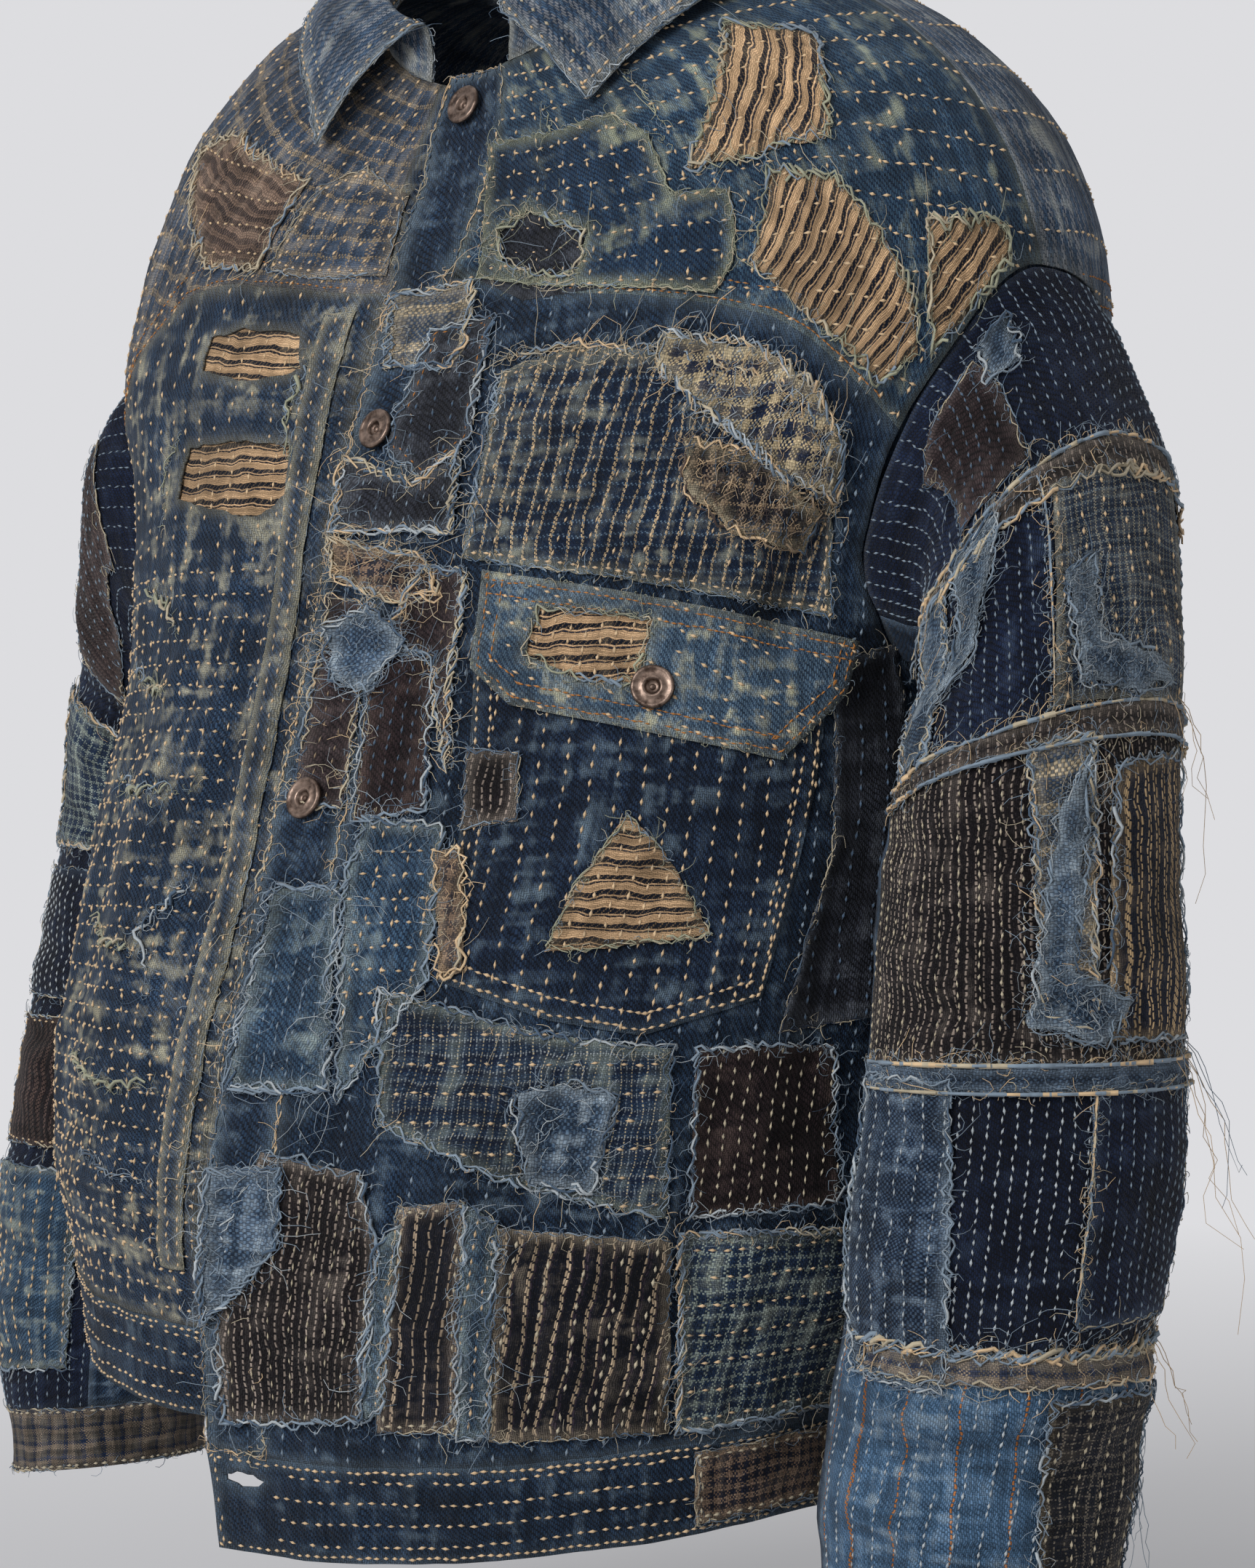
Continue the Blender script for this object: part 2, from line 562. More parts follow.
@dataclass(frozen=True)
class Woven:
    """Worn cotton cloth, woven from two sets of threads and drawn into small ridges by its stitching.
    The eye gets the grid of threads, each a little lighter or darker, dye gone pale on the ridges and
    left deep in the hollows.

    The real threads are 0.3 to 0.5 mm apart, too fine to show, so pitch draws them coarser. Sizes are in
    millimetres on the cut.
    """

    name: str
    slot: str
    dark: str
    mid: str
    light: str
    warp: Stripes = ()
    weft: Stripes = ()
    repeat: tuple[float, float] = (8.0, 8.0)
    pitch: float = 0.85
    weave: int = 3
    grain: float = 0.0
    fade: float = 0.7
    fade_size: float = 34.0
    fleck: float = 0.12
    thread_depth: float = 0.22
    ridge: float = 1.15
    ridge_size: float = 6.5
    streak_size: float = 7.0
    shade: float = 0.62
    edge_wear: float = 0.75
    weft_shows: float = 1.0

    def thread_colour(self, add: partial, place: NodeSocket, repeat: float, stripes: Stripes) -> NodeSocket:
        """The colour of the thread at a place across its set, each thread with a shade of its own.

        Args:
            add: the way to add a node to the material.
            place: the place in millimetres.
            repeat: how often the stripes come again.
            stripes: where each colour starts, as a share of the repeat.

        Returns:
            The colour.
        """
        number = add("Math.FLOOR", add("Math.DIVIDE", place, self.pitch))
        share = add("Math.FRACT", add("Math.MULTIPLY", number, self.pitch / repeat))
        ramp = stepped(add, share, stripes)
        shade = add("MapRange", add("TexWhiteNoise", number, noise_dimensions="1D"), 0.0, 1.0, 0.7, 1.25)
        return add("Mix", 1.0, ramp, shade, **TINT)

    def material(self) -> Material:
        """Build the cloth's material."""
        made, add = fresh_material(self.name)
        turned = (0.0, 0.0, math.radians(self.grain))
        flat = add("Mapping", add("UVMap", uv_map="cut"), None, turned, (1 / UV_MM,) * 3)
        waver = add("TexNoise", flat, 0.06, 3.0).node.outputs["Color"]
        waver = add("VectorMath.SCALE", add("VectorMath.SUBTRACT", waver, (0.5,) * 3), 7.0)
        laid = add("VectorMath.ADD", flat, waver)
        across, along = add("SeparateXYZ", laid).node.outputs[:2]
        warp = self.thread_colour(add, across, self.repeat[0], self.warp or ((0.0, self.mid),))
        weft = self.thread_colour(add, along, self.repeat[1], self.weft or ((0.0, self.dark),))

        thread = [add("Math.DIVIDE", place, self.pitch) for place in (across, along)]
        total = add("Math.ADD", *[add("Math.FLOOR", value) for value in thread])
        over = add("Math.LESS_THAN", add("Math.FLOORED_MODULO", total, float(self.weave)), 0.5)
        rounds = [add("Math.SINE", add("Math.MULTIPLY", add("Math.FRACT", t), math.pi)) for t in thread]
        height = add("Mix", over, *rounds)
        colour = add("Mix", add("Math.MULTIPLY", over, self.weft_shows), warp, weft, **RGBA)
        colour = add("Mix", 1.0, colour, add("MapRange", height, 0.0, 0.85, 0.4, 1.1), **TINT)

        ridges = add("TexNoise", flat, 1 / self.ridge_size, 2.0, 0.55)
        streaks = []
        for lengths in ((1.0, 0.16, 1.0), (0.16, 1.0, 1.0)):
            drawn = add("Mapping", laid, None, None, lengths)
            streaks.append(add("TexNoise", drawn, 1 / self.streak_size, 2.0, 0.5))
        ridges = add("Math.ADD", add("Math.MULTIPLY_ADD", ridges, 0.5, streaks[0]), streaks[1])
        ridges = add("Math.MULTIPLY", ridges, 0.4)
        worn = add("MapRange", add("TexNoise", flat, 1 / self.fade_size, 4.0, 0.62), 0.42, 0.66, 0.12, 1.0)
        worn = add("Math.MULTIPLY", worn, add("MapRange", ridges, 0.5, 0.6, 0.0, self.fade))
        edge = add("Attribute", attribute_name="worn").node.outputs["Fac"]
        worn = add("Math.MAXIMUM", worn, add("Math.MULTIPLY", edge, self.edge_wear))
        worn = add("Math.MULTIPLY", worn, add("MapRange", height, 0.2, 0.9, 0.3, 1.0))
        colour = add("Mix", worn, colour, linear(self.light), **RGBA)
        fluff = add("MapRange", add("TexNoise", flat, 0.8, 2.0, 0.7), 0.58, 0.72, 0.0, self.fleck)
        colour = add("Mix", fluff, colour, linear(self.light), **RGBA)
        colour = add("Mix", 1.0, colour, add("MapRange", ridges, 0.41, 0.55, self.shade, 1.14), **TINT)
        stain = add("MapRange", add("TexNoise", flat, 0.023, 3.0, 0.6), 0.32, 0.68, 0.62, 1.22)
        colour = add("Mix", 1.0, colour, stain, **TINT)

        rise = add("Math.MULTIPLY", height, self.thread_depth)
        rise = add("Math.MULTIPLY_ADD", ridges, self.ridge * 5.0, rise)
        bump = add("Bump", 1.0, MM, None, rise)
        matt = {"Roughness": 0.94, "Sheen_Weight": 0.06, "Specular_IOR_Level": 0.15}
        add("OutputMaterial", add("BsdfPrincipled", colour, Normal=bump, **matt))
        return made


TICKING = Woven(
    "ticking_across", "ticking", "a98b6a", "c4a27c", "dcc4a0", grain=90, weave=4, fade=0.2, fleck=0.05,
    warp=((0, "c8a580"), (0.46, "0f1524"), (0.76, "c8a580"), (0.86, "232430"), (0.95, "c8a580")),
    weft=((0, "b8976e"),), repeat=(6, 8), pitch=0.6, ridge=0.6, shade=0.7, edge_wear=0.2, weft_shows=0.3,
)
TICKING_UPRIGHT = replace(TICKING, name="ticking_upright", grain=56)
TICKING_LEANING = replace(TICKING, name="ticking_leaning", grain=42)
DENIM_DARK = Woven("dark_indigo_denim", "indigo_cloth", "111a28", "22354c", "8295a3", fade=0.45, fade_size=26)
DENIM_BLUE = Woven("blue_denim", "indigo_cloth", "1b2b40", "36506a", "a3b1ae", fade=0.8)
DENIM_BACK = Woven("indigo_denim_back", "indigo_cloth", "162133", "2a3f58", "8b9dac", fade=0.6, fade_size=55)
BLEACHED = Woven(
    "bleached_indigo", "faded_indigo", "142133", "2b4059", "bcb69c", fade=0.95, fade_size=26, streak_size=9,
)
FLAP_DENIM = Woven("flap_denim", "faded_indigo", "30435a", "51697f", "c0bb9a", fade=1, fade_size=26,
                   shade=0.65)
YOKE_TWILL = Woven("blue_yoke_twill", "blue_twill", "1e3048", "3a556e", "a9ad95", fade=0.9, fade_size=30)
KNIT_PALE = Woven(
    "napped_blue_twill", "blue_twill", "2c3f57", "4c647e", "b7b8ad", fade=0.85, fade_size=20, fleck=0.3,
    warp=((0, "435b76"), (0.5, "777d88")), repeat=(5.2, 5.2), ridge=1.3,
)
GREY_YOKE = Woven(
    "grey_blue_check", "grey_check", "333d4d", "536276", "bcae98", fade=0.6,
    warp=((0, "3c4d63"), (0.55, "87796a"), (0.8, "2a3445")),
    weft=((0, "3c4d63"), (0.6, "8a7c68"), (0.85, "2e3a4b")), repeat=(8, 8), weave=2,
)
CHECK_YOKE = Woven(
    "deep_indigo_worn_in_lines", "indigo_cloth", "16263c", "2a435e", "a7aa8e", fade=1, fade_size=24,
    streak_size=10,
)
RIBBED_BROWN = Woven(
    "brown_ribbed_cotton", "brown_cloth", "3a302e", "7a655a", "b39c88", weave=2, fade=0.5,
    weft=((0, "332b2c"), (0.5, "8a7262")), warp=((0, "65534a"),), repeat=(6, 3.6),
)
CHEST_STRIPE = Woven(
    "indigo_tan_stripe", "grey_check", "111c2f", "213650", "a3a596", fade=0.85, fade_size=26,
    warp=((0, "172840"), (0.74, "bfa785"), (0.9, "141f33")),
    weft=((0, "111d31"), (0.5, "5b7186"), (0.75, "172840")), repeat=(6, 4.8), pitch=0.6, ridge=1.3, shade=0.6,
)
CHEST_GAUZE = Woven(
    "blue_cream_check_gauze", "gauze", "141e31", "33455c", "c4b799", fade=0.4, fade_size=18, weave=2,
    fleck=0.3,
    warp=((0, "1b2a44"), (0.58, "b7a586")), weft=((0, "172440"), (0.58, "c0ae8b")), repeat=(8.6, 7.6),
    shade=0.7,
)
POCKET_INDIGO = Woven("overdyed_indigo", "indigo_cloth", "0e1626", "1f2f46", "7c8f9c", fade=0.7, fade_size=40)
GLEN_CHECK = Woven(
    "glen_check", "grey_check", "152032", "2f4560", "9aa59b", weave=2, fade=0.5,
    warp=((0, "16233a"), (0.3, "a69b84"), (0.5, "16233a"), (0.8, "6d7780")),
    weft=((0, "16233a"), (0.3, "7e858a"), (0.5, "223750")), repeat=(5.2, 5.2), pitch=0.65, shade=0.6,
)
BROWN_STITCHED = Woven("dark_brown_cotton", "brown_cloth", "140e10", "2a2023", "6f5d56", fade=0.45)
CHARCOAL = Woven("charcoal_cotton", "brown_cloth", "15161c", "2b2e37", "6f747c", fade=0.5)
CAP_BROWN = Woven("charcoal_brown_cotton", "brown_cloth", "1b1518", "33292b", "756865", fade=0.4)
FLECKED = Woven(
    "flecked_black_brown", "brown_cloth", "120e12", "211c20", "94897f", fade=0.3, weave=3,
    warp=((0, "191519"), (0.72, "94867c")), weft=((0, "120e11"),), repeat=(3.4, 8), ridge=0.8,
)
STRIPE_NARROW = Woven(
    "navy_tan_stripe_narrow", "ticking", "11131c", "211f26", "a09080", fade=0.25,
    warp=((0, "12151f"), (0.6, "a9957f"), (0.8, "12151f")), repeat=(6, 8), weave=4,
)
STRIPE_WIDE = Woven(
    "navy_tan_stripe_wide", "ticking", "12141e", "262730", "aa9c88", fade=0.3, weave=4,
    warp=((0, "10131d"), (0.45, "b5a086"), (0.68, "2b2430"), (0.85, "10131d")), repeat=(6.4, 8),
)
STRIPE_SLEEVE = Woven(
    "tan_navy_ticking", "ticking", "141a28", "3c3a40", "b9a385", fade=0.25, weave=4,
    warp=((0, "141b2b"), (0.4, "c0a37b"), (0.6, "2f2a30"), (0.72, "c3a781"), (0.88, "141b2b")),
    repeat=(5.6, 8), ridge=0.7,
)
GAUZE_CHECK = Woven(
    "blue_gauze_check", "gauze", "1b2c44", "385370", "a2a898", fade=0.8, weave=2,
    warp=((0, "1f334f"), (0.66, "8f9a94")), weft=((0, "1f334f"), (0.66, "8d9a97")), repeat=(5, 5),
)
GAUZE_BLUE = Woven(
    "pale_blue_gauze", "gauze", "26364b", "4a6078", "a5b2bb", fade=1, fade_size=14, weave=2, fleck=0.4,
    pitch=1.2,
)
GAUZE_CREAM = Woven(
    "cream_band_gauze", "gauze", "2a3548", "6b6763", "c0b196", fade=0.5, weave=2, pitch=1.1,
    weft=((0, "34465e"), (0.45, "b9a88c"), (0.75, "34465e")), warp=((0, "6a6a68"),), repeat=(8, 15),
)
GAUZE_DARK = Woven(
    "slate_gauze", "gauze", "172336", "3c4f66", "8fa1b2", fade=0.8, weave=2, fleck=0.3, pitch=1.1,
)
NAVY = Woven("navy_cotton", "navy_cloth", "0c1120", "152038", "55657e", fade=0.3, ridge=0.8)
NAVY_DEEP = Woven("deep_navy_cotton", "navy_cloth", "0b101d", "121b30", "46566e", fade=0.3, ridge=0.8)
FINE_CHECK = Woven(
    "grey_fine_check", "grey_check", "1a2739", "3a4e63", "a8a595", fade=0.6, weave=2, pitch=0.6,
    warp=((0, "24364f"), (0.6, "9a9484")), weft=((0, "203047"), (0.6, "6c7880")), repeat=(2.8, 2.8),
)
CHAMBRAY = Woven(
    "blue_chambray", "blue_twill", "2e4763", "517090", "b6c2c4", fade=0.6,
    warp=((0, "517090"), (0.93, "b0703f"), (0.98, "517090")), weft=((0, "3b5873"),), repeat=(21, 8),
)
DARK_CHECK = Woven(
    "dark_fine_check", "grey_check", "12141e", "232838", "7c705c", fade=0.3, weave=2,
    warp=((0, "151a26"), (0.72, "746c62")), weft=((0, "151a26"), (0.72, "666059")), repeat=(4.4, 4.4),
)
PLAID_CUFF = Woven(
    "tan_blue_plaid", "grey_check", "252e42", "57575a", "a0958a", fade=0.4, weave=2,
    warp=((0, "57534e"), (0.4, "1e2e4a"), (0.6, "86786a")),
    weft=((0, "55514d"), (0.45, "1e2e4a"), (0.65, "86786a")), repeat=(11, 11),
)
TAN_CHECK = Woven(
    "tan_check", "ticking", "241f26", "6e5a48", "ab967d", fade=0.4, weave=2,
    warp=((0, "80695a"), (0.55, "1b2133")), weft=((0, "8b7564"), (0.55, "1b2133")), repeat=(5.2, 5.2),
)
GATHERED = Woven(
    "brown_gathered_stripe", "brown_cloth", "1b1518", "362c2e", "665651", fade=0.3,
    warp=((0, "1f191c"), (0.5, "54443f")), repeat=(4.4, 8), ridge=1.6,
)
WORN_DENIM = Woven("worn_light_denim", "blue_twill", "22384f", "445f79", "b3b8a6", fade=1, fade_size=22)


class Thread(Enum):
    """Colours of sewing and frayed threads, each with its place on the thread material's scale."""

    CREAM = 0.05
    WHITE = 0.15
    OAT = 0.25
    TAN = 0.35
    ORANGE = 0.45
    SKY = 0.55
    BLUE = 0.65
    NAVY = 0.75
    BROWN = 0.85
    OLIVE = 0.95


CREAM, WHITE, OAT, TAN, ORANGE, SKY, BLUE, DEEP, BROWN, OLIVE = Thread


@dataclass(frozen=True)
class CottonThread:
    """Spun cotton thread, matt and a little hairy. The eye gets short bright dashes and soft loose ends,
    with a shade of its own on each length."""

    name: str = "cotton_thread"
    colours: tuple[str, ...] = (
        "e2c39b", "b9c1c6", "c6b99f", "a08a70", "b97a3a", "8798a8", "50647a", "1f2a3f", "50413c", "a6a78f",
    )

    def material(self) -> Material:
        """Build the thread's material, coloured by the tone of each length."""
        made, add = fresh_material(self.name)
        tone = add("Attribute", attribute_name="tone").node.outputs["Fac"]
        ramp = stepped(add, tone, tuple((index * 0.1, code) for index, code in enumerate(self.colours)))
        where = add("TexCoord").node.outputs["Object"]
        shade = add("MapRange", add("TexNoise", where, 90.0, 2.0, 0.7), 0.3, 0.7, 0.68, 1.08)
        colour = add("Mix", 1.0, ramp, shade, **TINT)
        matt = {"Roughness": 0.9, "Sheen_Weight": 0.2, "Specular_IOR_Level": 0.2}
        add("OutputMaterial", add("BsdfPrincipled", colour, **matt))
        return made


@dataclass(frozen=True)
class StampedMetal:
    """Stamped zinc with a brown copper wash, dull from wear. The eye gets a soft metal gleam on the rim
    and darker metal in the dish."""

    name: str = "stamped_metal"
    bright: str = "8a776b"
    dull: str = "41352f"

    def material(self) -> Material:
        """Build the metal's material."""
        made, add = fresh_material(self.name)
        where = add("TexCoord").node.outputs["Object"]
        wash = add("MapRange", add("TexNoise", where, 260.0, 3.0, 0.6), 0.35, 0.65, 0.0, 1.0)
        colour = add("Mix", wash, linear(self.dull), linear(self.bright), **RGBA)
        matt = add("MapRange", wash, 0.0, 1.0, 0.5, 0.34)
        bump = add("Bump", 0.4, 0.1 * MM, None, wash)
        add("OutputMaterial", add("BsdfPrincipled", colour, Metallic=1.0, Roughness=matt, Normal=bump))
        return made


def seed_of(name: str) -> int:
    """A fixed seed from a name."""
    return sum((i + 1) * ord(c) for i, c in enumerate(name))


def put(data: object, key: str, values: Array, kind: type = np.float32) -> None:
    """Fill one property of a run of mesh data."""
    data.foreach_set(key, values.astype(kind).ravel())


def point_mesh(name: str, points: Array) -> Mesh:
    """A mesh of loose points, given in millimetres and kept in metres."""
    mesh = bpy.data.meshes.new(name)
    mesh.vertices.add(len(points))
    put(mesh.vertices, "co", points * MM)
    return mesh


def store(mesh: Mesh, key: str, values: Array) -> None:
    """Keep a number or a vector for each point of a mesh."""
    kind, part = ("FLOAT_VECTOR", "vector") if values.ndim > 1 else ("FLOAT", "value")
    put(mesh.attributes.new(key, kind, "POINT").data, part, values)


def make_mesh(name: str, points: Array, faces: Array, uv: Array | None = None) -> Mesh:
    """A smooth mesh of triangles.

    Args:
        name: its name.
        points: places in millimetres.
        faces: three corners to a row.
        uv: a place on the cut for each point.

    Returns:
        The mesh.
    """
    mesh = point_mesh(name, points)
    mesh.loops.add(faces.size)
    put(mesh.loops, "vertex_index", faces, np.int32)
    mesh.polygons.add(len(faces))
    put(mesh.polygons, "loop_start", np.arange(0, faces.size, 3), np.int32)
    put(mesh.polygons, "use_smooth", np.ones(len(faces)), bool)
    mesh.update(calc_edges=True)
    mesh.validate()
    if uv is not None:
        put(mesh.uv_layers.new(name="cut").data, "uv", uv[faces.ravel()] * UV_MM)
    return mesh


def new_object(name: str, data: object) -> Object:
    """A new object at the origin of the scene."""
    made = bpy.data.objects.new(name, data)
    bpy.context.scene.collection.objects.link(made)
    return made


def show(name: str, mesh: Mesh, finish: Material) -> Object:
    """Put a mesh in the scene as a piece of the jacket, in a finish and in the record's material slot."""
    mesh.materials.clear()
    mesh.materials.append(finish)
    piece = new_object(name, mesh)
    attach(piece, "root")
    return piece


class Rows(Enum):
    """Ways of sewing."""

    RUNNING = "running"
    BORDER = "border"
    SEAM = "seam"


@dataclass(frozen=True)
class Sewing:
    """Rows of hand stitches on a piece of cloth, sizes in millimetres and degrees."""

    kind: Rows = Rows.RUNNING
    thread: Thread = CREAM
    spacing: float = 12.0
    length: float = 2.5
    gap: float = 3.6
    angle: float = 90.0
    inset: float = 3.2
    width: float = 1.0
    waver: float = 1.2
    kept: float = 0.95
    zone: Outline = field(default_factory=list)


@dataclass(frozen=True)
class Fray:
    """Loose threads and matted rolls along a raw edge, or along a line of its own, sizes in millimetres."""

    length: float = 6.0
    every: float = 2.2
    threads: tuple[Thread, ...] = (CREAM, SKY, OAT)
    width: float = 0.34
    wild: float = 0.7
    back: float = 0.25
    roll: float = 0.0
    strands: int = 2
    fill: float = 0.0
    line: Outline = field(default_factory=list)
    toward: tuple[float, float] = (0.0, 1.0)


@dataclass
class Cloth:
    """One piece of cloth, cut to an outline on a form, with holes torn in it, stitches and frayed edges."""

    name: str
    outline: Outline
    finish: Woven
    node: str = ""
    level: float = 0.0
    form: ClothForm = BODY
    windows: tuple[Outline, ...] = ()
    step: float = 4.7
    thick: float = PANEL_THICK
    ragged: float = 0.0
    curl: float = 0.0
    held: str = "hung"
    sewing: tuple[Sewing, ...] = ()
    frays: tuple[Fray, ...] = ()
    round_edge: bool = False

    def border(self, outline: Outline, ragged: float) -> Array:
        """The outline in flat millimetres, with a raw edge's small bites."""
        line = walk(self.form.flat(outline), min(RAW_STEP, self.step) if ragged else self.step)
        bites = smooth_noise(*line.T, 5.0, 4.0) + 0.7 * smooth_noise(*line.T, 2.6, 7.0)
        return line - facing(line) * (ragged * (bites * 0.6 + 0.3))[:, None]

    def inside_cloth(self, flat: Array) -> Array:
        """Which flat places are on the cloth."""
        return within(flat, [self.form.flat(ring) for ring in (self.outline, *self.windows)])

    def cut(self) -> tuple[Array, Array, Array]:
        """Cut the cloth: its flat points, its triangles, and how far each point is from an edge."""
        rng = np.random.default_rng(seed_of(self.name))
        rings = [self.border(self.outline, self.ragged),
                 *[self.border(ring, TEAR_BITES) for ring in self.windows]]
        edge = np.vstack(rings)
        low, high = rings[0].min(axis=0), rings[0].max(axis=0)
        grid = []
        for number, height in enumerate(np.arange(low[1], high[1], self.step * TRIANGLE_ROW)):
            columns = np.arange(low[0] + (number % 2) * self.step / 2, high[0], self.step)
            grid.append(np.column_stack([columns, np.full(len(columns), height)]))
        fill = np.vstack(grid) + rng.uniform(-0.16, 0.16, (sum(map(len, grid)), 2)) * self.step
        fill = fill[within(fill, rings)]
        fill = fill[distance_to(fill, edge) > self.step * 0.55]
        lines, start = [], 0
        for ring in rings:
            lines += [(start + i, start + (i + 1) % len(ring)) for i in range(len(ring))]
            start += len(ring)
        found = delaunay_2d_cdt([Vector(p) for p in np.vstack([edge, fill])], lines, [], 0, 1e-4, False)
        flat, triangles = np.array([tuple(p) for p in found[0]]), np.array([tuple(t) for t in found[2]])
        keep = within(flat[triangles].mean(axis=1), rings)
        used, fresh = np.unique(triangles[keep], return_inverse=True)
        return flat[used], fresh.reshape(-1, 3), distance_to(flat[used], edge)

    def make(self, finishes: dict[str, Material]) -> None:
        """Build the cloth as a thin closed shell on its form, its raw edges curled up here and there."""
        flat, triangles, from_edge = self.cut()
        curled = 0.5 + 0.5 * smooth_noise(*flat.T, 16.0, 5.0)
        lift = self.level + self.curl * curled * np.exp(-((from_edge / CURL_REACH) ** 2))
        half = np.full(len(flat), self.thick / 2)
        if self.ragged or self.round_edge:
            half = half * np.clip(THINNEST + from_edge / 2.5, THINNEST, 1.0)
        upper, lower = self.form.place(flat, lift + half), self.form.place(flat, lift - half)
        count = len(flat)
        sides = np.vstack([triangles[:, [0, 1]], triangles[:, [1, 2]], triangles[:, [2, 0]]])
        keys, back = sides[:, 0] * count + sides[:, 1], sides[:, 1] * count + sides[:, 0]
        a, b = sides[~np.isin(keys, back)].T
        rim = [np.stack([b, a, a + count], -1), np.stack([b, a + count, b + count], -1)]
        faces = np.vstack([triangles, triangles[:, ::-1] + count, *rim])
        if self.form.flipped:
            faces = faces[:, ::-1]
        mesh = make_mesh(self.name, np.vstack([upper, lower]), faces, np.vstack([flat, flat]))
        worn = np.exp(-((from_edge / WORN_REACH) ** 2)) * (1.0 if self.ragged else 0.45)
        store(mesh, "worn", np.tile(worn, 2))
        piece = show(self.name, mesh, finishes[self.finish.name])
        self.declare(piece, flat, triangles)

    def declare(self, piece: Object, flat: Array, triangles: Array) -> None:
        """State the piece as a sheet, with its flat size along its own form."""
        corners, here = self.form.place(flat, self.level)[triangles], flat[triangles].mean(axis=1)
        edges = corners[:, 1] - corners[:, 0], corners[:, 2] - corners[:, 0]
        area = np.linalg.norm(np.cross(*edges), axis=1).sum() / 2
        steps = []
        for move in (np.array([1.0, 0.0]), np.array([0.0, 1.0])):
            gap = self.form.middle(*(here + move).T) - self.form.middle(*(here - move).T)
            steps.append(float(np.median(np.linalg.norm(gap, axis=1))) / 2)
        size = (flat.max(axis=0) - flat.min(axis=0)) * np.array(steps)
        if size[0] * size[1] < area:
            size = size * math.sqrt(area / (size[0] * size[1])) * 1.001
        if self.node:
            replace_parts(piece, self.node)
        LOG.info("%s: %.0f by %.0f mm, %d triangles", self.name, *size, len(piece.data.polygons))


ROLL_STEP, ROLL_POINTS = 2.4, 10
FRAY_STEPS, DANGLE_STEPS = 4, 9
# Shares of the strands and of the loose threads that are left on a raw edge, and a thread's width at its end.
STRANDS_LEFT, THREADS_LEFT, TAPER = 0.86, 0.9, 0.6
# Threads round a torn window: their spacing and length as shares of the edge's own, and how wild they lie.
TEAR_EVERY, TEAR_LENGTH, TEAR_WILD = 0.35, 1.2, 0.9


def growing_tree(name: str, inputs: tuple[tuple[str, str, float], ...]) -> tuple[NodeTree, partial, object]:
    """A geometry tree that turns a mesh into lengths of thread.

    Args:
        name: its name.
        inputs: the label, kind and value of each number that it takes.

    Returns:
        The tree, the way to add a node to it, and its inputs inside it by name.
    """
    tree = bpy.data.node_groups.new(name, "GeometryNodeTree")
    for label, kind, value in (("Geometry", "Geometry", None), *inputs,
                               ("Thread material", "Material", None)):
        socket = tree.interface.new_socket(label, in_out="INPUT", socket_type="NodeSocket" + kind)
        if value is not None:
            socket.default_value = value
    tree.interface.new_socket("Geometry", in_out="OUTPUT", socket_type="NodeSocketGeometry")
    add = partial(add_node, tree)
    return tree, add, add("NodeGroupInput").node.outputs


